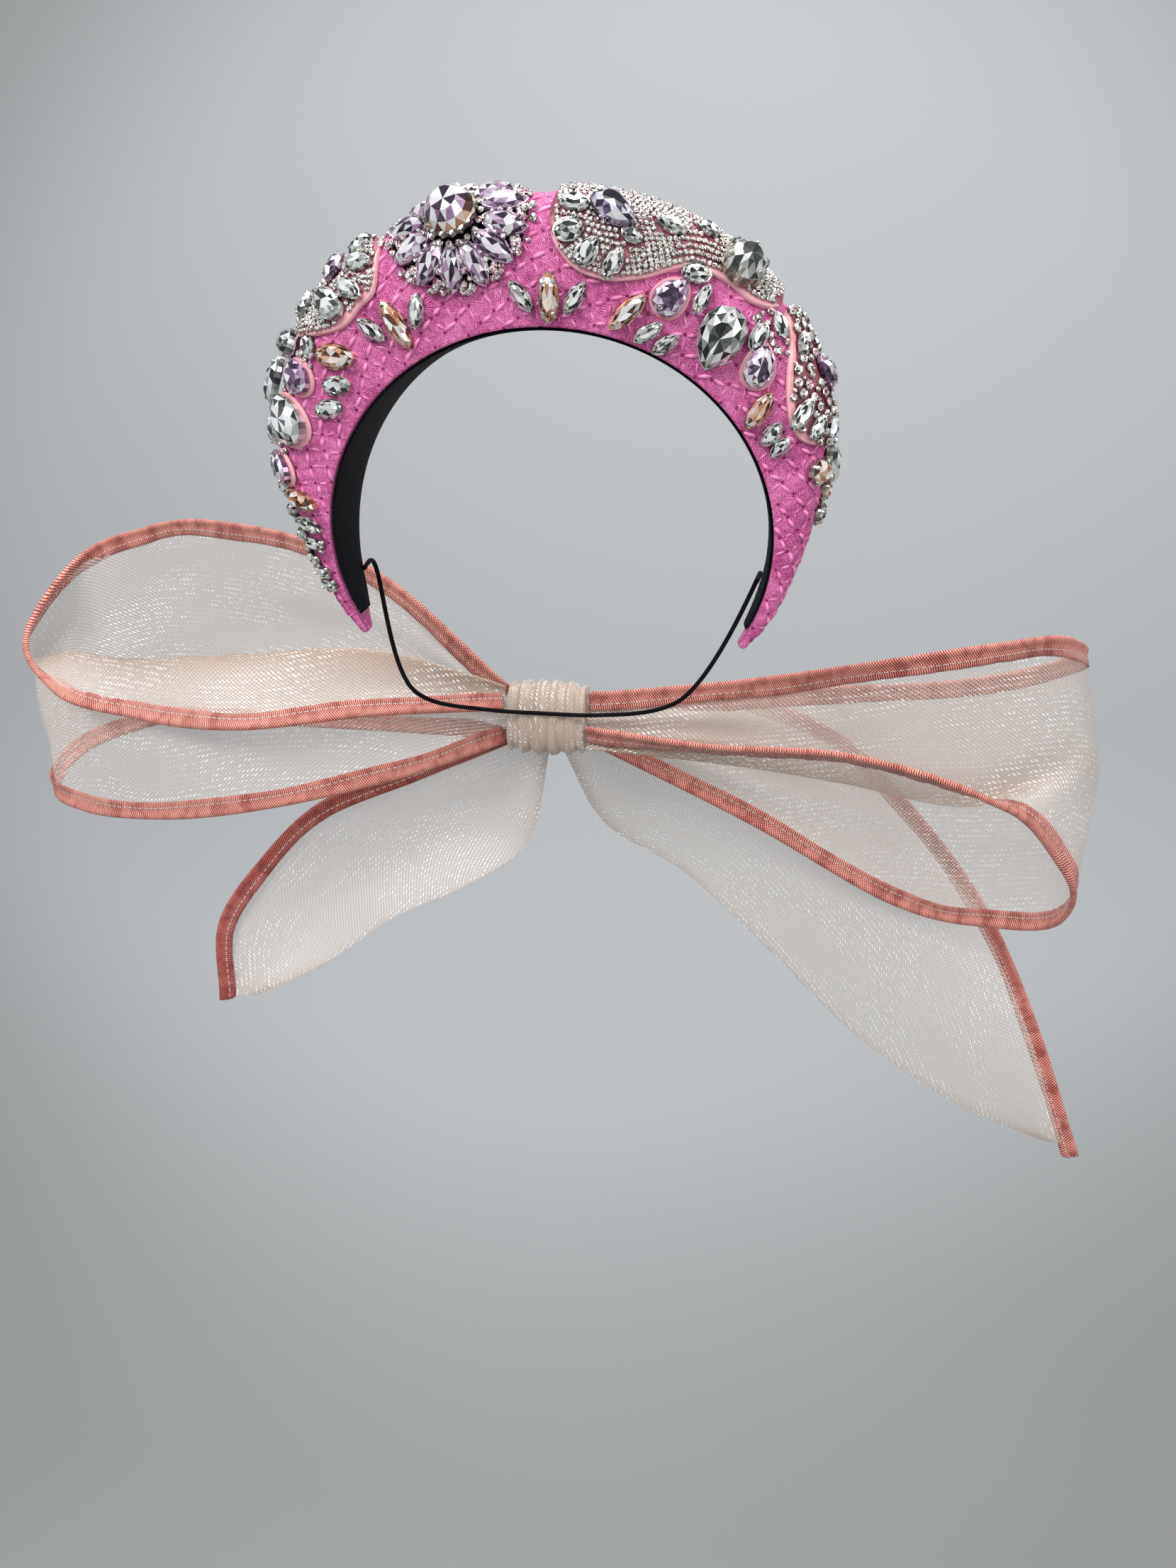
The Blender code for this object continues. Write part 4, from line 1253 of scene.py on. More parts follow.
        last = unit(bound[-1] - bound[-2])
        path = np.concatenate([bound, bound[-1] + last * more])
        inward = np.concatenate([cut - bound, np.repeat((cut - bound)[-1:], 5, axis=0)])
        inward[-12:] = inward[-13]
        length = np.concatenate([run, run[-1] + more[:, 0]])
        left = np.clip((length[-1] - length) / 3.0, 0, 1)
        narrow = self.binding_mm * (0.45 + 0.55 * np.sqrt(1 - (1 - left) ** 2))
        strip = self.strip(path, inward, narrow, length, f"{tail.name}_binding", tail.tone)
        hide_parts(f"{tail.name}_tape")
        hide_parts(f"{tail.name}_crin")

    def knot(self) -> None:
        """Wrapped knot: a barrel with soft pleats round it and a seam at the back."""
        wide, deep, tall = self.knot_size
        side = np.linspace(-1, 1, 65)
        turn = around(96)
        s, t = np.meshgrid(side, turn, indexing="ij")
        ease = 1 - 0.10 * s * s
        groove = 0.9 * np.cos(math.pi * 5 * s) + 0.25 * np.sin(math.pi * 13 * s + 0.8 * np.sin(t))
        rim = np.clip((np.abs(s) - 0.94) / 0.06, 0, 1) ** 2 * 1.2
        y = (deep / 2 * ease - groove - rim) * np.sign(np.cos(t)) * np.abs(np.cos(t)) ** 0.7
        z = (tall / 2 * ease - groove - rim) * np.sign(np.sin(t)) * np.abs(np.sin(t)) ** 0.7
        points = np.stack([s * wide / 2, y, z], axis=2) + np.array(self.knot_centre)
        uv = pattern(t * 14.0, (s + 1) * wide / 2)
        skin = Surface()
        skin.tube(points, uv, 0.75, flip=True)
        made = skin.make("wrapped_knot", [NetFinish().make("crin_net_layers", 0.55)], True)
        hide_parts("bow_knot")

    def elastic(self) -> None:
        """Nape elastic: a round tube on a smooth route from arm to arm, in front of the knot."""
        reach = self.under_cover + self.elastic_radius
        kx, ky, kz = self.knot_centre
        nape_y = ky - self.knot_size[1] / 2 - self.elastic_radius - self.knot_clearance
        left = ARCH.inner(np.full(2, -self.elastic_deg), np.array([0.75, 1.25]), reach)
        right = ARCH.inner(np.full(2, self.elastic_deg), np.array([1.25, 0.75]), reach)
        middle = np.array([
            (-62, 72, -128),
            (kx - 24, nape_y - 5, kz + 4),
            (kx, nape_y, kz + 3),
            (kx + 24, nape_y - 5, kz + 4),
            (44, 80, -128),
        ], float)
        route = np.concatenate([left, middle, right])
        keys = distances(route)
        run = np.linspace(0, keys[-1], 320)
        path = smooth_rows(keys, route, run)
        ahead = unit(np.gradient(path, axis=0))
        first = unit(np.cross(ahead, np.array((0.0, 0.0, 1.0))))
        second = np.cross(ahead, first)
        turn = around(14)
        out = first[:, None] * np.cos(turn)[None, :, None] + second[:, None] * np.sin(turn)[None, :, None]
        rings = path[:, None] + out * self.elastic_radius
        uv = pattern(run[:, None], turn * 0.9)
        skin = Surface()
        skin.tube(rings, uv)
        made = skin.make("nape_elastic", [BlackClothFinish("black_elastic_cord", 0.45).make()], True)
        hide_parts("elastic_cord")

    def build(self) -> None:
        """Build every piece of the bow."""
        for loop in (LEFT_LOOP, RIGHT_LOOP):
            self.loop(loop)
        for tail in (LEFT_TAIL, RIGHT_TAIL):
            self.tail(tail)
        self.knot()
        self.elastic()


# Stones


class Cut(Enum):
    """Outlines of the cut stones."""

    NAVETTE = "navette"
    PEAR = "pear"
    OVAL = "oval"
    ROUND = "round"
    BAGUETTE = "baguette"

    def outline(self, length: float, width: float, sides: int) -> Array:
        """Outline from the stone's point along +x, as sides by 2.

        A navette raises the sine to a power so both ends are pointed; a pear does so at one
        end only; a baguette is a rounded box from a small power of both.
        """
        turns = around(sides)
        x, y = np.cos(turns), np.sin(turns)
        if self is Cut.NAVETTE:
            y = y * np.abs(y) ** 0.45
        elif self is Cut.PEAR:
            y = np.sign(y) * np.abs(y) ** (1 + 0.55 * np.clip(x, 0, 1)) * (1.02 - 0.20 * x)
        elif self is Cut.BAGUETTE:
            x = np.sign(x) * np.abs(x) ** 0.45
            y = np.sign(y) * np.abs(y) ** 0.45
        return np.stack([x * length / 2, y * width / 2], axis=1)


@dataclass(frozen=True)
class Stone:
    """One set stone on the cover: its cut, colour, place, turn and size."""

    name: str
    cut: Cut
    tint: Tint
    angle_deg: float
    over_mm: float
    turn_deg: float
    length: float
    width: float
    height: float
    plate: float = 0.0
    lift: float = 0.0
    claws: int = 0
    tilt_deg: float = 0.0
    # table: painted light of the table, 0 dark to 1 bright; below 0 a random mix
    table: float = -1.0


N, P, O, R, B = Cut.NAVETTE, Cut.PEAR, Cut.OVAL, Cut.ROUND, Cut.BAGUETTE
CLEAR, LAVENDER, VIOLET, CHAMPAGNE = Tint.CLEAR, Tint.LAVENDER, Tint.VIOLET, Tint.CHAMPAGNE

MAIN_STONES = (
    # name, cut, tint, angle_deg, over_mm, turn_deg, length, width, height, plate, lift, claws
    Stone("left_trio_middle", N, CHAMPAGNE, -32, 13, -87, 17, 6.5, 4.5, table=0.2),
    Stone("left_trio_outer", N, CLEAR, -37.2, 16, -68, 11, 5, 3.5),
    Stone("left_trio_inner", N, CLEAR, -26.8, 13.5, 57, 11, 5, 3.5, table=0.8),
    Stone("centre_trio_middle", N, CHAMPAGNE, 2, 9, -88, 15.5, 6.5, 4.5, 0, 0, 4, table=0.85),
    Stone("centre_trio_left", N, CLEAR, -4, 9.5, -57, 11, 5, 3.5, table=0.8),
    Stone("centre_trio_right", N, CLEAR, 7.5, 9.5, 62, 11, 5, 3.5),
    Stone("left_side_champagne", O, CHAMPAGNE, -47, 18, -49, 13.5, 8, 4.5),
    Stone("left_side_high_oval", O, CLEAR, -51.5, 12, -44, 10, 6, 3.5),
    Stone("left_side_low_oval", O, CLEAR, -57, 10, -41, 10, 6, 3.5),
    Stone("left_side_lavender", O, LAVENDER, -56, 24.5, -105, 12, 9.5, 5, 0.8, table=0.14),
    Stone("left_side_clear_pear", P, CLEAR, -64.5, 21.5, 60, 18.5, 12.5, 6, 0.8, table=0.18),
    Stone("left_side_pink_pear", P, LAVENDER, -75, 20.5, 60, 13.5, 9, 5, 0.8),
    Stone("left_side_low_champagne", N, CHAMPAGNE, -81, 10.5, -103, 13, 6, 4.5),
    Stone("left_side_low_clear", N, CLEAR, -87, 7.5, -108, 10.5, 4.5, 3.5),
    Stone("right_upper_champagne", N, CHAMPAGNE, 19, 9, 58, 15, 6, 4.5),
    Stone("right_upper_lavender", P, LAVENDER, 26.2, 18, 68, 12.5, 9.5, 5, 0.8, table=0.08),
    Stone("right_upper_low", N, CLEAR, 24.6, 5.5, 54, 10.5, 4.5, 3.5),
    Stone("right_upper_lowest", N, CLEAR, 29.2, 4.5, 57, 10, 4.5, 3.5),
    Stone("right_upper_high", N, CLEAR, 31.6, 21.5, 91, 9.5, 4.5, 3.5),
    Stone("right_large_pear", P, CLEAR, 38.4, 15, -81, 20, 14, 6.5, table=0.08),
    Stone("right_side_lavender", P, LAVENDER, 48, 17, 117, 13, 9, 5, 0.8, table=0.1),
    Stone("right_side_champagne", N, CHAMPAGNE, 55, 8.5, 107, 13.5, 6, 4.5, table=0.72),
    Stone("right_side_clear", N, CLEAR, 61, 8, 109, 9, 5, 3.5),
    Stone("right_crest_lavender", P, VIOLET, 12, 35, -26, 16, 9, 5.5, 0, 3.2, table=0.04),
    Stone("right_crest_round", R, CLEAR, 34.5, 35, 0, 14, 14, 7.5, 0, 3.2, 6, table=0.08),
    Stone("right_low_clear", O, CLEAR, 73.5, 28, 10, 16, 7.5, 5),
    Stone("right_low_champagne", R, CHAMPAGNE, 73, 18, 0, 8.5, 8.5, 5, 0, 0, 4),
)

LEFT_EXTRAS = tuple(Stone("small", *row) for row in (
    # cut, tint, angle_deg, over_mm, turn_deg, length, width, height, plate, lift, claws
    (O, CLEAR, -32.5, 43.5, 20, 9, 6.5, 3.5, 0, 2.2),
    (N, LAVENDER, -38, 41.5, 57, 12.5, 7, 4, 0, 2.2),
    (P, CLEAR, -33, 35.0, -34, 11, 6, 3.5, 0, 2.2),
    (N, CLEAR, -36.5, 29.5, -62, 10.5, 6, 3.5, 0, 2.2),
    (P, CLEAR, -41.5, 31, 106, 14.5, 8.5, 4, 0, 2.2),
    (O, CLEAR, -46, 39, 40, 9.5, 6.5, 3.5, 0, 2.2),
    (P, CLEAR, -53, 36.5, 100, 13, 8.5, 4.8, 0, 1.6),
    (O, CLEAR, -60.5, 34.5, 15, 16, 9, 5, 0, 1.8),
    (O, CLEAR, -50, 27.5, 60, 8.5, 5.5, 3.5),
    (O, CLEAR, -69.5, 31.5, 10, 10.5, 6.5, 4, 0, 1.2),
    (R, CLEAR, -79.5, 21, 0, 6.5, 6.5, 3.5, 0, 0.5),
    (O, CLEAR, -84.5, 17, 100, 9, 5.5, 3.5),
    (O, CLEAR, -90, 13.5, 100, 8.5, 5, 3.2),
    (B, CLEAR, -92, 6, -102, 8, 4, 3.0, 0, 0, 4),
    (B, CLEAR, -96, 9, -102, 7.5, 3.8, 3.0, 0, 0, 4),
    (B, CLEAR, -99.5, 5.5, -102, 7.5, 3.6, 2.8, 0, 0, 4),
    (B, CLEAR, -103.5, 4.5, -102, 7, 3.4, 2.6, 0, 0, 4),
))

RIGHT_EXTRAS = tuple(Stone("small", *row) for row in (
    # cut, tint, angle_deg, over_mm, turn_deg, length, width, height, plate, lift, claws
    (O, CLEAR, 5.2, 28, 11, 9.5, 7, 3.8, 0, 2.2),
    (N, CLEAR, 5.5, 36, -2, 10, 6, 3.5, 0, 2.2),
    (P, CLEAR, 9, 23, 62, 10, 6.3, 3.5, 0, 2.2),
    (N, CLEAR, 14, 21, 74, 10.8, 5.5, 3.5, 0, 2.2),
    (O, CLEAR, 16, 29.5, -16, 7.2, 4.2, 3, 0, 2.2),
    (N, CLEAR, 21.5, 36, -4, 10, 5, 3.5, 0, 2.2),
    (N, CLEAR, 27, 41, -6, 8, 4.5, 3.2, 0, 2.2),
    (O, CLEAR, 28.5, 27, 18, 9.3, 6, 3.5, 0, 0.6),
    (O, CLEAR, 44, 22.8, -76, 9.2, 5.2, 3.5),
    (N, CLEAR, 45.5, 29.5, -30, 8.4, 4.6, 3.2, 0, 1.5),
    (N, CLEAR, 64.6, 8.6, 109, 8.2, 4.6, 3.2),
    (N, LAVENDER, 57, 34.5, 12, 12.2, 6.5, 4, 0, 2.4),
    (N, CLEAR, 60.5, 18.5, -67, 11.5, 5.2, 3.5, 0, 2.4),
    (N, CLEAR, 64.3, 21, -65, 9.5, 4.8, 3.2, 0, 2.4),
    (N, CLEAR, 66.0, 27, -60, 8.5, 4.4, 3.0, 0, 2.0),
    (N, CLEAR, 50.5, 31, -55, 8.5, 4.4, 3.0, 0, 2.4),
    (R, CHAMPAGNE, 78, 24, 0, 6.6, 6.6, 3.6, 0, 0, 4),
    (B, CLEAR, 83, 21, -98, 8.2, 4.6, 3.6, 0, 0, 4),
))


@dataclass
class Jeweller:
    """Cuts stones and sets them: faceted crown, glassy rim, sewing holes or claws, leather plate."""

    seed: int = 11
    rim_mm: float = 0.3
    gap_mm: float = 0.3
    plate_thick: float = 1.2
    hole_mm: float = 0.62
    girdle_share: float = 0.42
    middling_mm: float = 9.0
    large_mm: float = 13.0
    finishes: dict[Tint, Material] = field(init=False)
    silver: Material = field(init=False)
    leather: Material = field(init=False)
    rng: np.random.Generator = field(init=False)

    def __post_init__(self) -> None:
        """Make the finishes that all stones share."""
        self.finishes = {tint: CrystalFinish(tint).make() for tint in Tint}
        self.silver = SilverFinish().make()
        self.leather = LeatherFinish().make()
        self.rng = np.random.default_rng(self.seed)

    def materials(self, tint: Tint) -> list[Material]:
        """Slots of a stone piece: crystal, silver, leather."""
        return [self.finishes[tint], self.silver, self.leather]

    def painted_facet_tones(self, count: int, bright: float, dark: float = 0.3) -> Array:
        """Painted reflection tones, with given shares of bright and dark facets and the rest between."""
        pick = self.rng.random(count)
        low = self.rng.uniform(0.0, 0.16, count)
        mid = self.rng.uniform(0.36, 0.66, count)
        high = self.rng.uniform(0.80, 1.0, count)
        return np.where(pick < bright, high, np.where(pick > 1 - dark, low, mid))

    def crown(
        self, skin: Surface, outline: Array, base: float, top: float, place: Placer,
        low_slot: int = 0, table: float = -1.0,
    ) -> None:
        """Faceted crown: a girdle, a turned ring of main facets and a wide table.

        The table is cut in broad sectors with one painted tone each, standing for the facets under it showing
        through; some sectors get a contrasting painted streak.

        Args:
            skin: The mesh to add to.
            outline: The girdle's outline.
            base: Height of the girdle.
            top: Height of the table.
            place: Puts flat points on the seat.
            low_slot: Slot of the lower facets on the front half.
            table: Painted light of the table, 0 dark to 1 bright, or less than 0 for a mix.
        """
        n = len(outline)
        half = (outline + np.roll(outline, -1, axis=0)) / 2
        rise = top - base
        rings = (
            (outline, base),
            (half * 0.84, base + 0.56 * rise),
            (outline * 0.52, top),
            (np.zeros((1, 2)), top - 0.06 * rise),
        )
        points = np.concatenate([place.put(ring, height) for ring, height in rings])
        i = np.arange(n)
        j = (i + 1) % n
        faces = np.concatenate([
            np.stack([i, j, n + i], axis=1),
            np.stack([n + i, j, n + j], axis=1),
            np.stack([n + i, 2 * n + j, 2 * n + i], axis=1),
            np.stack([n + i, n + j, 2 * n + j], axis=1),
            np.stack([2 * n + i, 2 * n + j, np.full(n, 3 * n)], axis=1),
        ])
        sectors = self.painted_facet_tones(n, 0.60, 0.32)
        # A set table tone paints the table's reflection, with some painted streaks across it
        if table >= 0:
            painted_streak = self.rng.random(n) < 0.22
            sectors = np.clip(table + self.rng.uniform(-0.08, 0.10, n), 0, 1)
            sectors = np.where(painted_streak, 1.0 if table < 0.5 else 0.45, sectors)
        sectors = sectors[np.arange(n) // (1 if table >= 0 and n > 10 else 2)]
        tones = [self.painted_facet_tones(n, share, 0.30) for share in (0.26, 0.34, 0.30, 0.42)]
        upward = np.array((0.0, 0.6, 1.0))
        front = points[faces].mean(axis=1) @ upward < place.point @ upward
        low = front & (np.arange(len(faces)) < 2 * n)
        skin.add(points, faces, None, np.concatenate(tones + [sectors]), np.where(low, low_slot, 0))

    def rim(
        self, skin: Surface, outline: Array, base: float, girdle: float, place: Placer, slot: int
    ) -> None:
        """Side of the stone under its girdle; its foot follows the cover."""
        reach = np.abs(outline).max(axis=0)
        foot = outline * (1 + 0.4 * self.rim_mm / reach)
        wide = outline * (1 + self.rim_mm / reach)
        levels = [
            place.put(foot, base, foot=True),
            place.put(wide, base + 0.55 * (girdle - base)),
            place.put(wide, girdle),
            place.put(outline * 0.985, girdle + 0.05),
        ]
        # Random tones: painted reflections on a crystal rim, random tone on a silver one
        tones = np.tile(self.rng.uniform(0.05, 0.75, len(outline)), 3)
        skin.bands(levels, tones, slot)

    def rings(self, skin: Surface, spots: Array, height: float, radius: float, place: Placer) -> None:
        """Eyelets round the sewing holes, with a painted highlight on their top and painted shade in the
        hole.
        """
        eyelet = circle(around(10)) * radius
        section = ((1.32, -0.45), (1.22, 0.10), (0.86, 0.16), (0.68, -0.10), (0.05, -0.12))
        for spot in spots:
            levels = [place.put(spot + eyelet * share, height + rise) for share, rise in section]
            # Tones paint light on each eyelet's top and shade down in its hole
            tones = np.repeat((0.5, 0.95, 0.75, 0.0), 10)
            skin.bands(levels, tones, 1)

    def claws(
        self, skin: Surface, outline: Array, girdle: float, top: float, base: float, place: Placer, count: int
    ) -> None:
        """Claws: short tapered fingers from the rim over the girdle, each ending in a bead.

        Args:
            skin: The mesh to add to.
            outline: The girdle's outline.
            girdle: Height of the girdle.
            top: Height of the table.
            base: Height of the rim's foot.
            place: Puts flat points on the seat.
            count: How many claws.
        """
        n = len(outline)
        size = float(np.abs(outline).max())
        thick = 0.30 + 0.075 * size
        rise = top - girdle
        at = (np.arange(count) + 0.5) * n / count
        low = np.floor(at).astype(int) % n
        part = (at - np.floor(at))[:, None]
        spots = outline[low] * (1 - part) + outline[(low + 1) % n] * part
        away = unit(spots)
        stations = (
            (0.35, base + 0.3 * (girdle - base), 1.0),
            (0.55, girdle, 1.0),
            (0.20, girdle + 0.34 * rise, 1.0),
            (-0.08 * size - 0.15, girdle + 0.58 * rise, 1.1),
            (-0.12 * size - 0.30, girdle + 0.60 * rise, 0.35),
        )
        turn = around(6)
        rings = []
        for out, height, scale in stations:
            middle = place.put(spots + away * out, height)
            first = unit(place.put(spots + away * (out + 0.5), height) - middle)
            second = unit(np.cross(place.normal, first))
            third = np.broadcast_to(place.normal, first.shape)
            lean = third if height > girdle + 0.2 * rise else first
            rings.append(
                middle[:, None]
                + second[:, None] * (np.cos(turn) * thick * scale)[None, :, None]
                + lean[:, None] * (np.sin(turn) * thick * scale * 0.6)[None, :, None]
            )
        points = np.stack(rings, axis=1)
        for claw in points:
            skin.bands(list(claw), 0.85, 1)

    def plate(self, skin: Surface, outline: Array, show: float, place: Placer) -> None:
        """Leather plate under a stone: a rounded disc that follows the cover."""
        reach = np.abs(outline).max(axis=0)
        wide = outline * (1 + (show + self.rim_mm) / reach)
        section = ((0.99, 0.0), (1.01, 0.45), (0.985, 0.85), (0.94, 1.0), (0.55, 1.0))
        levels = [
            place.put(wide * share, self.gap_mm + rise * self.plate_thick, foot=True)
            for share, rise in section
        ]
        skin.bands(levels, np.repeat((0.9, 0.8, 0.5, 0.4), len(outline)), 2)

    def set_stone(self, skin: Surface, stone: Stone) -> None:
        """Set one stone on its seat: plate, rim, crown, then claws or sewing holes.

        Args:
            skin: The mesh to add to.
            stone: The stone.
        """
        sides = 8 if stone.length < self.middling_mm else 10
        if stone.length >= self.large_mm and stone.cut is not Cut.NAVETTE:
            sides = 12
        outline = stone.cut.outline(stone.length, stone.width, sides)
        seat = ARCH.seat(stone.angle_deg, stone.over_mm)
        place = Placer(seat, stone.turn_deg, stone.tilt_deg)
        base = self.gap_mm + stone.lift
        top = stone.height + stone.lift
        if stone.plate:
            smooth = stone.cut.outline(stone.length, stone.width, 32)
            self.plate(skin, smooth, stone.plate, place)
            base += self.plate_thick
        girdle = base + self.girdle_share * (top - base)
        fine = stone.cut.outline(stone.length, stone.width, 2 * sides)
        fine[1::2] = (outline + np.roll(outline, -1, axis=0)) / 2 * 1.01
        self.rim(skin, fine, base, girdle, place, 1 if stone.claws else 0)
        self.crown(skin, outline, girdle, top, place, 0, stone.table)
        if stone.claws:
            self.claws(skin, outline, girdle, top, base, place, stone.claws)
        elif stone.length >= self.middling_mm and stone.cut is not Cut.ROUND:
            spots = np.array([(0.37, 0.0), (-0.39, 0.0)]) * stone.length
            self.rings(skin, spots, girdle + 0.62 * (top - girdle), self.hole_mm, place)


@dataclass
class Placer:
    """Puts flat outlines on one seat of the cover, turned about its normal and tilted."""

    seat: Seats
    turn_deg: float
    tilt_deg: float = 0.0
    radius_along: float = 115.0
    radius_across: float = 24.0

    def __post_init__(self) -> None:
        """Work out the stone's own directions; a tilt lowers its far end."""
        self.point = self.seat.point[0]
        first, second = self.seat.turned(self.turn_deg)
        tilt = math.radians(self.tilt_deg)
        self.second = second[0]
        self.first = first[0] * math.cos(tilt) - self.seat.normal[0] * math.sin(tilt)
        self.normal = self.seat.normal[0] * math.cos(tilt) + first[0] * math.sin(tilt)

    def put(self, flat: Array, height: float, foot: bool = False) -> Array:
        """Places of flat points at a height; a foot drops to the curved cover at its rim."""
        out = self.first * flat[:, 0:1] + self.second * flat[:, 1:2]
        drop = 0.0
        if foot:
            u = out @ self.seat.along[0]
            v = out @ self.seat.across[0]
            drop = (u * u / (2 * self.radius_along) + v * v / (2 * self.radius_across))[:, None]
        return self.point + out + self.normal * (height - drop)


@dataclass
class Trim:
    """All the set stones: each main stone is its own piece, the small ones go by region."""

    jeweller: Jeweller

    def main_stones(self) -> None:
        """One piece for each main stone."""
        for stone in MAIN_STONES:
            skin = Surface()
            self.jeweller.set_stone(skin, stone)
            made = skin.make(f"{stone.name}_set", self.jeweller.materials(stone.tint), False)
            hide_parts(f"{stone.name}_stone")

    def extras(self) -> None:
        """Smaller stones without a node, one piece for each side and colour."""
        for side, stones in (("left", LEFT_EXTRAS), ("right", RIGHT_EXTRAS)):
            for tint in Tint:
                chosen = [stone for stone in stones if stone.tint is tint]
                if not chosen:
                    continue
                skin = Surface()
                for stone in chosen:
                    self.jeweller.set_stone(skin, stone)
                name = f"{side}_small_{tint.name.lower()}_stones"
                made = skin.make(name, self.jeweller.materials(tint), False)

    def build(self) -> None:
        """Build every set stone."""
        self.main_stones()
        self.extras()


@dataclass
class Flower:
    """Raised round stone in a pleated cup, a ring of navette petals and small crystals."""

    jeweller: Jeweller
    angle_deg: float = -14.5
    over_mm: float = 34.0
    petals: int = 12
    ring_along: float = 16.0
    ring_across: float = 13.2
    petal_length: float = 15.2
    petal_width: float = 7.4
    petal_height: float = 4.2
    petal_lift: float = 0.9
    petal_tilt_deg: float = 11.0
    stone_width: float = 17.0
    stem_width: float = 7.0
    stem_height: float = 4.6
    stone_top: float = 13.2
    pile_reach: float = 1.42
    pile_spread: float = 0.17
    pile_turn: float = 0.125

    def centre(self) -> None:
        """Centre stone: stem, pleated silver cup with a ring of claws, and a round crown."""
        skin = Surface()
        place = Placer(ARCH.seat(self.angle_deg, self.over_mm), 0.0)
        turns = around(48)
        pleat = 1 + 0.06 * np.cos(turns * 16)
        stem = circle(turns) * self.stem_width / 2
        wide = circle(turns) * self.stone_width
        cup = circle(turns) * (pleat * self.stone_width)[:, None]
        girdle = self.stem_height + 3.4
        levels = [
            place.put(stem, 0.3, foot=True),
            place.put(stem, self.stem_height - 0.6),
            place.put(cup * 0.40, self.stem_height + 0.2),
            place.put(cup * 0.50, self.stem_height + 1.2),
            place.put(cup * 0.525, girdle),
            place.put(wide * 0.49, girdle + 0.35),
        ]
        # Painted light and shade: each pleat is lighter on its crest and darker in its hollow
        tones = np.tile(0.40 + 0.35 * np.cos(turns * 16), 5)
        skin.bands(levels, tones, 1)
        outline = Cut.ROUND.outline(self.stone_width, self.stone_width, 14)
        self.jeweller.crown(skin, outline, girdle, self.stone_top, place, 2)
        finishes = self.jeweller.finishes
        materials = [finishes[Tint.LAVENDER], self.jeweller.silver, finishes[Tint.CHAMPAGNE]]
        made = skin.make("flower_centre_set", materials, False)
        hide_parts("flower_centre_stone")

    def ring_place(self, turn: float, reach: float) -> tuple[float, float]:
        """Angle and distance over the cover of a place on the flower's oval."""
        mm = ARCH.per_degree(self.angle_deg, self.over_mm)
        aside = self.ring_along * reach * math.cos(turn)
        upward = self.ring_across * reach * math.sin(turn)
        return self.angle_deg + aside / mm, self.over_mm + upward

    def ring(self) -> None:
        """Petals, each its own piece, pointing away from the centre."""
        for k in range(self.petals):
            turn = 2 * math.pi * (k + 0.5) / self.petals
            angle, over = self.ring_place(turn, 1.0)
            up = self.ring_across * math.sin(turn)
            radial = math.degrees(math.atan2(up, self.ring_along * math.cos(turn)))
            stone = Stone(
                "petal", Cut.NAVETTE, Tint.LAVENDER, angle, over, radial,
                self.petal_length, self.petal_width, self.petal_height,
                0.0, self.petal_lift, 0, self.petal_tilt_deg,
            )
            skin = Surface()
            self.jeweller.set_stone(skin, stone)
            made = skin.make(f"flower_petal_{k + 1:02d}_set", self.jeweller.materials(stone.tint), False)
            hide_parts(f"flower_petal_{k + 1:02d}")

    def base(self) -> None:
        """Dark cloth disc under the petals, close over the cover."""
        turns = around(72)
        shares = np.array((0.02, 0.5, 1.0, 1.35, 1.46))
        lifts = np.repeat((0.45, 0.45, 0.45, 0.35, 0.0), len(turns))[:, None]
        spots = np.array([self.ring_place(turn, reach) for reach in shares for turn in turns])
        seats = ARCH.seat(spots[:, 0], spots[:, 1])
        points = seats.point + seats.normal * lifts
        skin = Surface()
        skin.add(points, grid_faces(len(shares), len(turns), closed=True)[:, ::-1], spots)
        made = skin.make("flower_cloth_disc", [BlackClothFinish("black_cloth", 0.7).make()], True)

    def crystals(self, beads: SmallStones) -> None:
        """Piles of tiny crystals between the petal tips, and crystals between petals and cup."""
        rng = np.random.default_rng(self.petals)
        spots, lifts = [], []
        for k in range(self.petals):
            turn = 2 * math.pi * k / self.petals
            for n in range(12):
                aside, out = rng.uniform(-1, 1), rng.uniform(-1, 1)
                reach = self.pile_reach + self.pile_spread * out
                place = self.ring_place(turn + self.pile_turn * aside, reach)
                spots.append((*place, rng.uniform(1.7, 2.4)))
                lifts.append(0.4 + 1.9 * (1 - max(abs(aside), abs(out))) + 0.5 * (n % 2))
            for shift, reach in ((0.0, 1.12), (0.03, 0.93), (-0.03, 0.78)):
                spots.append((*self.ring_place(turn + shift, reach), 1.9))
                lifts.append(2.6)
        for k in range(17):
            spots.append((*self.ring_place(2 * math.pi * k / 17, 0.56), 2.2))
            lifts.append(4.2)
        beads.piece("flower_small_crystals", np.array(spots), np.array(lifts), pink_share=0.55)

    def build(self, beads: SmallStones) -> None:
        """Build the flower."""
        self.centre()
        self.ring()
        self.base()
        self.crystals(beads)


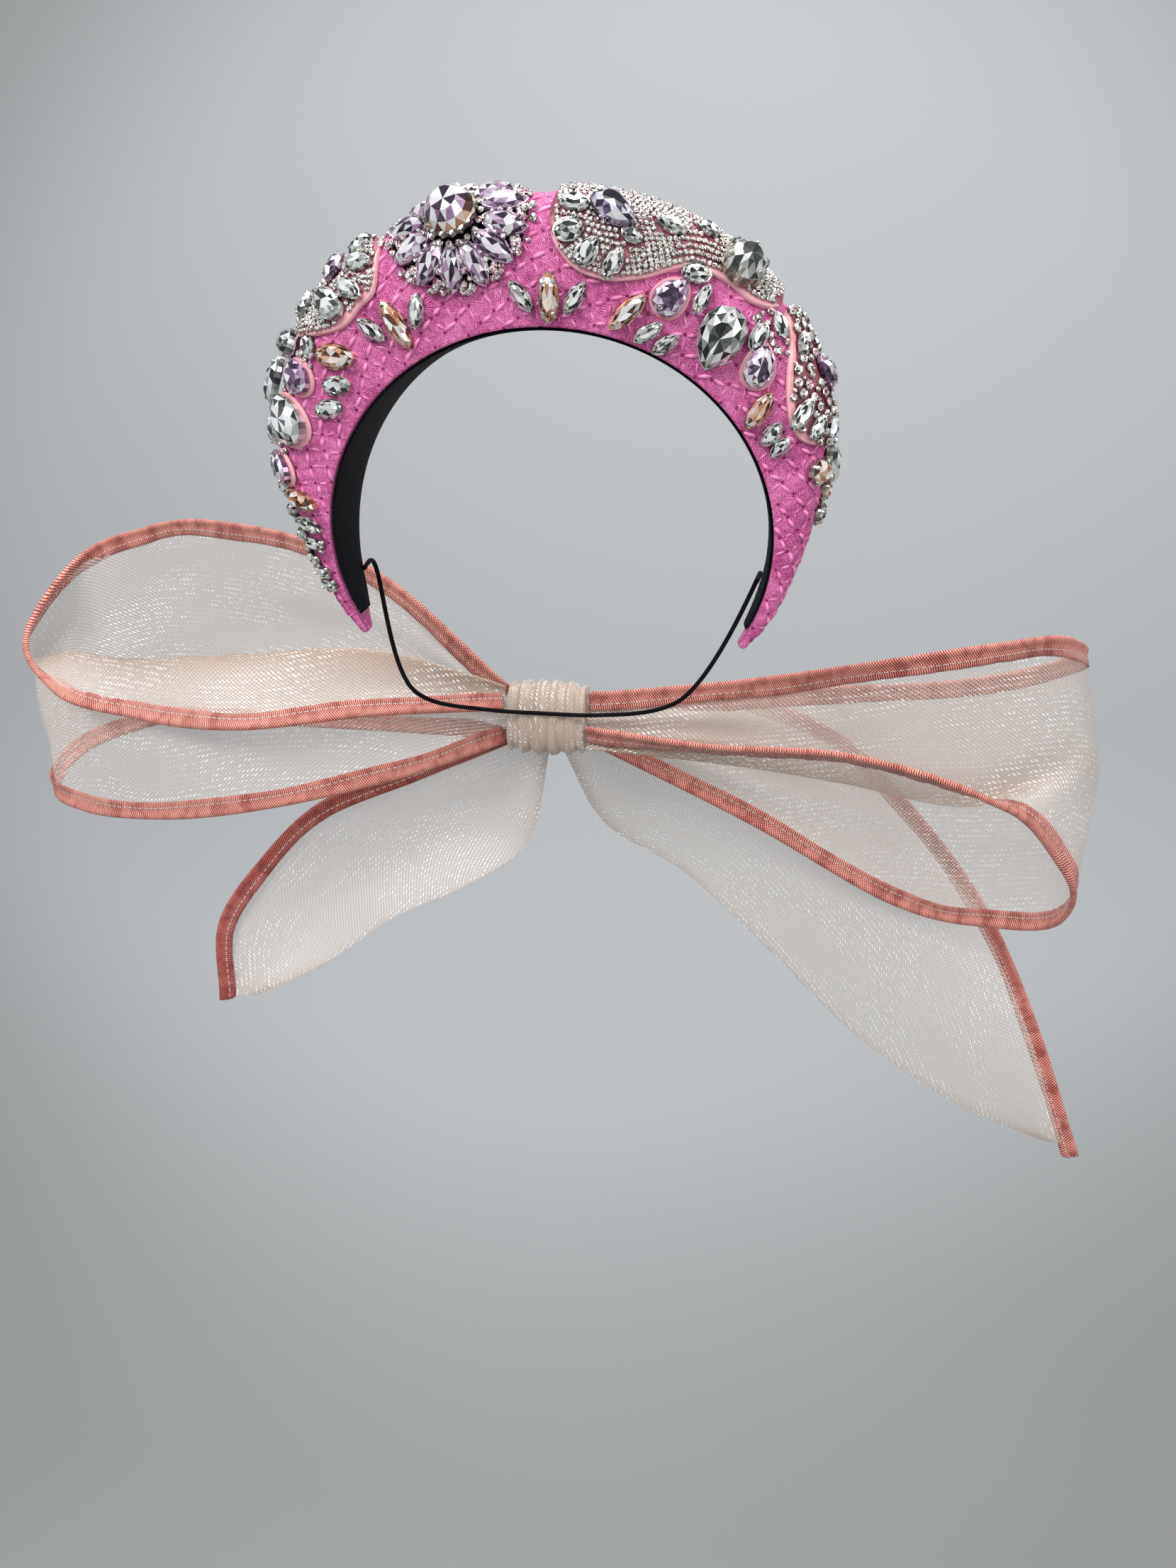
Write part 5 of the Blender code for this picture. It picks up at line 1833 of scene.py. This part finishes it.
@dataclass
class SmallStones:
    """Small round rhinestones in cups, stamped from one shape."""

    jeweller: Jeweller
    seed: int = 23

    def shape(self) -> tuple[Array, Array, Array]:
        """Points, faces and slots of one stone of diameter 1: cup, crown and table."""
        turns = around(8)
        lift = np.array((0.0, 0.0, 1.0))
        full = np.pad(circle(turns), ((0, 0), (0, 1)))
        half = np.pad(circle(turns + math.pi / 8), ((0, 0), (0, 1)))
        points = np.concatenate([
            full * 0.46,
            full * 0.55 + lift * 0.34,
            full * 0.47 + lift * 0.40,
            half * 0.30 + lift * 0.64,
            lift[None, :] * 0.60,
        ])
        i = np.arange(8)
        j = (i + 1) % 8
        quads = grid_faces(3, 8, closed=True)
        tris = [np.stack([q[[0, 1, 2]], q[[0, 2, 3]]]) for q in quads]
        crown = np.concatenate([
            np.stack([16 + i, 16 + j, 24 + i], axis=1),
            np.stack([24 + i, 16 + j, 24 + j], axis=1),
            np.stack([24 + i, 24 + j, np.full(8, 32)], axis=1),
        ])
        faces = np.concatenate([np.concatenate(tris), crown])
        return points, faces, np.repeat((1, 0), (2 * len(quads), len(crown)))

    def piece(
        self, name: str, spots: Array, lift: Array | float, pink_share: float = 0.0, node: str = ""
    ) -> Object:
        """Stamp stones on the cover.

        Args:
            name: The piece's name.
            spots: N by 3 rows of angle_deg, over_mm and diameter_mm.
            lift: Height of their feet above the cover.
            pink_share: Share of them that are pink.
            node: CAD node that the piece stands for, if any.

        Returns:
            The piece.
        """
        rng = np.random.default_rng(self.seed + len(spots))
        seats = ARCH.seat(spots[:, 0], spots[:, 1])
        first, second = seats.turned(rng.uniform(0, 90, len(spots)))
        tilt = rng.normal(0, 0.14, (len(spots), 2))
        normal = unit(seats.normal + first * tilt[:, 0:1] + second * tilt[:, 1:2])
        points, faces, slots = self.shape()
        size = spots[:, 2][:, None, None]
        raised = seats.normal * np.broadcast_to(lift, (len(spots),))[:, None]
        placed = (seats.point + raised)[:, None] + size * (
            first[:, None] * points[None, :, 0:1]
            + second[:, None] * points[None, :, 1:2]
            + normal[:, None] * points[None, :, 2:3]
        )
        every = (np.arange(len(spots))[:, None, None] * len(points) + faces[None]).reshape(-1, 3)
        metal = np.tile(slots, len(spots)) == 1
        # Crystal facets get painted reflection tones; metal faces get a random tone
        tones = self.jeweller.painted_facet_tones(len(every), 0.50)
        tones = np.where(metal, rng.uniform(0.0, 0.9, len(every)), tones)
        pink = np.repeat(rng.random(len(spots)) < pink_share, len(faces))
        kinds = np.where(metal, 1, np.where(pink, 2, 0))
        skin = Surface()
        skin.add(placed.reshape(-1, 3), every, None, tones, kinds)
        finishes = self.jeweller.finishes
        materials = [finishes[Tint.IVORY], self.jeweller.silver, finishes[Tint.PINK]]
        made = skin.make(name, materials, False)
        if node:
            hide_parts(node)
        return made


@dataclass(frozen=True)
class Plate:
    """One leather backing: rows of angle_deg, from_mm and to_mm on the cover."""

    name: str
    rows: tuple[Triple, ...]


LEFT_PLATE = Plate("left", (
    (-29.0, 36.0, 45.0), (-32.0, 26.5, 54.0), (-37.0, 23.5, 56.0),
    (-42.0, 22.5, 56.0), (-47.0, 27.0, 54.0), (-51.0, 33.0, 46.0),
))
RIGHT_PLATE = Plate("right", (
    (1.5, 27.0, 42.0), (5.0, 20.0, 52.0), (12.0, 16.0, 56.0), (20.0, 19.5, 56.0),
    (27.0, 27.5, 55.0), (34.0, 29.5, 53.0), (40.0, 29.5, 50.0), (43.5, 33.0, 42.0),
))
LEAF_PLATE = Plate("leaf", (
    (45.0, 34.0, 41.0), (49.0, 28.5, 49.0), (53.0, 21.5, 50.0), (57.0, 17.0, 48.0),
    (62.0, 14.5, 44.0), (66.0, 16.0, 38.0), (68.5, 20.5, 31.0),
))


@dataclass
class Backings:
    """Leather backings with their fields of rhinestones."""

    jeweller: Jeweller
    beads: SmallStones
    lift: float = 0.9
    thick: float = 1.2
    clearance: float = 0.25
    edge_mm: float = 0.9
    end_deg: float = 1.6
    stone_lift: float = 2.2
    margin: float = 2.2
    row_pitch: float = 1.8
    row_stone: float = 1.75
    seed: int = 5

    def limits(self, plate: Plate, angle: Array) -> Array:
        """Front and back limits of a backing at each angle, as N by 2."""
        rows = np.array(plate.rows)
        start = rows[0, 0]
        return smooth_rows(np.abs(rows[:, 0] - start), rows[:, 1:], np.abs(angle - start))

    def leather(self, plate: Plate) -> None:
        """Backing: a grid over the cover whose thickness rounds off to nothing at its edge."""
        start, end = plate.rows[0][0], plate.rows[-1][0]
        angles = np.linspace(start, end, 81)
        limits = self.limits(plate, angles)
        t = np.linspace(-1, 1, 41)
        ease = np.sin(t * math.pi / 2)
        middle = limits.mean(axis=1)[:, None]
        half = (limits[:, 1] - limits[:, 0])[:, None] / 2
        ends = np.clip(np.minimum(np.abs(angles - start), np.abs(angles - end)) / self.end_deg, 0, 1)
        round_end = np.sqrt(np.clip(1 - (1 - ends) ** 2, 0.0, 1))[:, None]
        over = middle + ease[None, :] * half * (0.35 + 0.65 * round_end)
        a = np.broadcast_to(angles[:, None], over.shape)
        seats = ARCH.seat(a.ravel(), over.ravel())
        inside = np.minimum(np.abs(over - limits[:, 0:1]), np.abs(limits[:, 1:2] - over))
        rise = np.sqrt(np.clip(1 - (1 - np.clip(inside / self.edge_mm, 0, 1)) ** 2, 0, 1)) * round_end
        top = seats.point + seats.normal * (self.lift + self.thick * rise.reshape(-1, 1))
        low = seats.point + seats.normal * self.clearance
        rows, columns = over.shape
        skin = Surface()
        corner = grid_faces(rows, columns)[:, 0]
        tone = np.where(rise.ravel()[corner] < 0.97, 0.95, 0.45)
        # Tone 0 inside the margin paints shade on the leather under the rhinestone field
        tone = np.where(inside.ravel()[corner] > self.margin - 0.2, 0.0, tone)
        skin.add(top, grid_faces(rows, columns), None, tone)
        rim = np.concatenate([
            np.arange(columns),
            np.arange(1, rows) * columns + columns - 1,
            (rows - 1) * columns + np.arange(columns - 2, -1, -1),
            np.arange(rows - 2, 0, -1) * columns,
        ])
        count = len(rim)
        i = np.arange(count)
        j = (i + 1) % count
        walls = np.stack([i, count + i, count + j, j], axis=1)
        skin.add(np.concatenate([top[rim], low[rim]]), walls, None, 0.9)
        made = skin.make(f"{plate.name}_leather_backing", [self.jeweller.leather], True)
        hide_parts(f"{plate.name}_backing")

    def clear_of(self, spots: Array, stones: tuple[Stone, ...], room: float) -> Array:
        """Spots that lie outside every given stone's outline, with some room."""
        keep = np.ones(len(spots), bool)
        for stone in stones:
            mm = ARCH.per_degree(stone.angle_deg, stone.over_mm)
            x = (spots[:, 0] - stone.angle_deg) * mm
            y = spots[:, 1] - stone.over_mm
            turn = math.radians(stone.turn_deg)
            u = x * math.cos(turn) + y * math.sin(turn)
            v = -x * math.sin(turn) + y * math.cos(turn)
            keep &= (u / (stone.length / 2 + room)) ** 2 + (v / (stone.width / 2 + room)) ** 2 > 1
        return spots[keep]

    def rows_of_stones(self, plate: Plate) -> Array:
        """Stones in parallel rows that follow the backing's own edges.

        Args:
            plate: The backing.

        Returns:
            N by 3 rows of angle_deg, over_mm and diameter_mm.
        """
        pitch = self.row_pitch
        start, end = plate.rows[0][0], plate.rows[-1][0]
        rng = np.random.default_rng(self.seed)
        inset = np.sign(end - start) * 1.4
        fine = np.linspace(start + inset, end - inset, 400)
        limits = self.limits(plate, fine)
        count = int((limits[:, 1] - limits[:, 0]).max() / pitch)
        inside = limits[:, 1] - limits[:, 0] - 2 * self.margin
        gap = inside / count
        spots = []
        for n, share in enumerate(np.linspace(0, 1, count)):
            over = limits[:, 0] + self.margin + share * inside
            places = ARCH.point(fine, over)
            run = distances(places)
            at = np.arange(0.5 * pitch * (n % 2), run[-1], pitch)
            a = np.interp(at, run, fine)
            room = np.interp(at, run, gap)
            o = np.interp(at, run, over)
            keep = (room > 0.68 * pitch) | (n % 2 == 0)
            spots.append(np.stack([a, o, np.full(len(a), self.row_stone)], axis=1)[keep])
        spots = np.concatenate(spots)
        spots[:, 0] += rng.normal(0, 0.04, len(spots))
        spots[:, 1] += rng.normal(0, 0.06, len(spots))
        return spots

    def loose_stones(self, plate: Plate, sizes: tuple[float, ...], tries: int) -> Array:
        """Stones of mixed sizes packed at random inside a backing's limits."""
        rng = np.random.default_rng(self.seed + 1)
        start, end = plate.rows[0][0], plate.rows[-1][0]
        mm = ARCH.per_degree((start + end) / 2, 30.0)
        kept = np.zeros((0, 3))
        for size in sizes:
            angle = rng.uniform(min(start, end), max(start, end), tries)
            limits = self.limits(plate, angle)
            share = rng.uniform(0, 1, tries)
            inner = limits[:, 0] + self.margin
            over = inner + share * (limits[:, 1] - self.margin - inner)
            for a, o, good in zip(angle, over, limits[:, 1] - limits[:, 0] > 2 * self.margin):
                far = np.hypot((kept[:, 0] - a) * mm, kept[:, 1] - o)
                if good and (far > (kept[:, 2] + size) * 0.50).all():
                    kept = np.vstack([kept, (a, o, size)])
        return kept

    def fields(self) -> None:
        """A field of rhinestones on each backing."""
        left = self.rows_of_stones(LEFT_PLATE)
        left = self.clear_of(left, LEFT_EXTRAS, 0.4)
        self.beads.piece("left_rhinestone_rows", left, self.stone_lift, 0.20, "left_rhinestones")
        right = self.rows_of_stones(RIGHT_PLATE)
        # The last four main stones stand over the field or far from it, so it runs on under them
        right = self.clear_of(right, RIGHT_EXTRAS + MAIN_STONES[:-4], 0.35)
        self.beads.piece("right_rhinestone_rows", right, self.stone_lift, 0.22, "right_rhinestones")
        leaf = self.loose_stones(LEAF_PLATE, (3.0, 2.4, 1.9, 1.5), 900)
        leaf = self.clear_of(leaf, RIGHT_EXTRAS, 0.4)
        self.beads.piece("leaf_rhinestone_cluster", leaf, self.stone_lift, 0.20, "leaf_rhinestones")

    def gap_crystals(self) -> None:
        """Small crystals in the gaps of the side clusters, down each rear edge."""
        rng = np.random.default_rng(self.seed + 2)
        zones = (
            # first_deg, last_deg, front_at_first, front_at_last, depth_mm, count
            (-50.0, -106.0, 30.0, 4.0, 11.0, 900),
            (-49.0, -72.0, 22.0, 22.0, 12.0, 260),
            (41.0, 50.0, 26.0, 24.0, 8.0, 120),
            (69.0, 86.0, 24.0, 19.0, 9.0, 120),
            (-22.0, -30.0, 36.0, 38.0, 18.0, 200),
        )
        stones = MAIN_STONES + LEFT_EXTRAS + RIGHT_EXTRAS
        kept = np.zeros((0, 3))
        for first, last, low, high, depth, count in zones:
            share = rng.uniform(0, 1, count)
            angle = first + (last - first) * share
            over = low + (high - low) * share + rng.uniform(0, depth, count)
            size = rng.choice((1.8, 2.3, 2.9), count)
            spots = np.stack([angle, np.clip(over, 2.0, ARCH.reach(angle) - 3), size], axis=1)
            spots = self.clear_of(spots, stones, 0.6)
            for spot in spots:
                far = np.hypot((kept[:, 0] - spot[0]) * 1.8, kept[:, 1] - spot[1])
                if (far > (kept[:, 2] + spot[2]) * 0.51).all():
                    kept = np.vstack([kept, spot])
        self.beads.piece("side_small_crystals", kept, 0.3, 0.18)

    def build(self) -> None:
        """Build every backing and field."""
        for plate in (LEFT_PLATE, RIGHT_PLATE, LEAF_PLATE):
            self.leather(plate)
        self.fields()
        self.gap_crystals()


# Studio


@dataclass
class Studio:
    """Camera, backdrop and soft light."""

    camera_mm: Triple = (76.0, -394.0, -79.0)
    azimuth_deg: float = 8.0
    pitch_deg: float = -10.0
    roll_deg: float = 2.0
    lens_mm: float = 27.0
    sensor_mm: float = 36.0
    floor_z: float = -0.95
    wall_y: float = 1.25
    sweep_radius: float = 0.7
    light_target: Triple = (0.0, 0.05, -0.06)

    def matrix(self, *columns: Array) -> Matrix:
        """World matrix from the three directions of an object and its place."""
        matrix = Matrix.Identity(4)
        for column, axis in enumerate(columns):
            for row in range(3):
                matrix[row][column] = float(axis[row])
        return matrix

    def camera(self) -> None:
        """Camera at the photograph's place and angle."""
        turn, pitch = math.radians(self.azimuth_deg), math.radians(self.pitch_deg)
        ahead = np.array((
            -math.sin(turn) * math.cos(pitch), math.cos(turn) * math.cos(pitch), math.sin(pitch)
        ))
        right = unit(np.cross(ahead, (0.0, 0.0, 1.0)))
        up = np.cross(right, ahead)
        roll = math.radians(self.roll_deg)
        x = right * math.cos(roll) + up * math.sin(roll)
        y = -right * math.sin(roll) + up * math.cos(roll)
        data = bpy.data.cameras.new("studio_camera")
        data.lens = self.lens_mm
        data.sensor_width = self.sensor_mm
        data.sensor_fit = "AUTO"
        data.clip_start = 0.02
        made = new_object("studio_camera", data)
        made.matrix_world = self.matrix(x, y, -ahead, np.array(self.camera_mm) * MM)
        bpy.context.scene.camera = made

    def backdrop(self) -> None:
        """Seamless sweep: floor, quarter turn and wall, drawn along x."""
        radius = self.sweep_radius
        turn = np.linspace(-0.5 * math.pi, 0, 24)
        y = np.concatenate([[-3.2], self.wall_y - radius + radius * np.cos(turn), [self.wall_y]])
        z = np.concatenate([[self.floor_z], self.floor_z + radius + radius * np.sin(turn), [3.0]])
        x = np.linspace(-4.0, 4.0, 3)
        grid = np.stack(np.broadcast_arrays(x[None, :], y[:, None], z[:, None]), axis=2)
        faces = grid_faces(len(y), len(x))[:, ::-1]
        mesh = bpy.data.meshes.new("backdrop_sweep")
        mesh.from_pydata(grid.reshape(-1, 3).tolist(), [], faces.tolist())
        mesh.polygons.foreach_set("use_smooth", np.full(len(faces), True))
        mesh.materials.append(StageFinish().make())
        made = new_object("backdrop_sweep", mesh)

    def light(self, name: str, place: Triple, size: float, power: float) -> None:
        """Square soft light aimed at the band."""
        data = bpy.data.lights.new(name, "AREA")
        data.shape = "SQUARE"
        data.size = size
        data.energy = power
        ahead = unit(np.array(self.light_target) - np.array(place))
        right = unit(np.cross(ahead, (0.0, 0.02, 1.0)))
        up = np.cross(right, ahead)
        new_object(name, data).matrix_world = self.matrix(right, up, -ahead, np.array(place))

    def world(self) -> None:
        """Even pale surroundings."""
        world = bpy.data.worlds.new("studio_world")
        world.use_nodes = True
        back = world.node_tree.nodes["Background"]
        back.inputs["Color"].default_value = (0.93, 0.96, 1.0, 1.0)
        back.inputs["Strength"].default_value = 0.55
        bpy.context.scene.world = world

    def build(self) -> None:
        """Build the studio."""
        self.camera()
        self.backdrop()
        self.world()
        self.light("key_light", (-0.55, -1.05, 0.75), 0.7, 16.0)
        self.light("fill_light", (0.95, -0.8, 0.25), 0.8, 7.0)
        self.light("top_light", (0.1, 0.15, 1.25), 0.8, 9.0)
        self.light("wall_light", (0.0, 0.1, 1.6), 1.4, 14.0)
        bpy.context.scene.view_settings.view_transform = "Standard"


def main() -> None:
    """Load the frame and build every sub-assembly in order."""
    logging.basicConfig(level=logging.INFO, format="%(name)s %(message)s")
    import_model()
    Studio().build()
    PaddedBand().build()
    Bow().build()
    jeweller = Jeweller()
    beads = SmallStones(jeweller)
    Trim(jeweller).build()
    Flower(jeweller).build(beads)
    Backings(jeweller, beads).build()


if __name__ == "__main__":
    main()
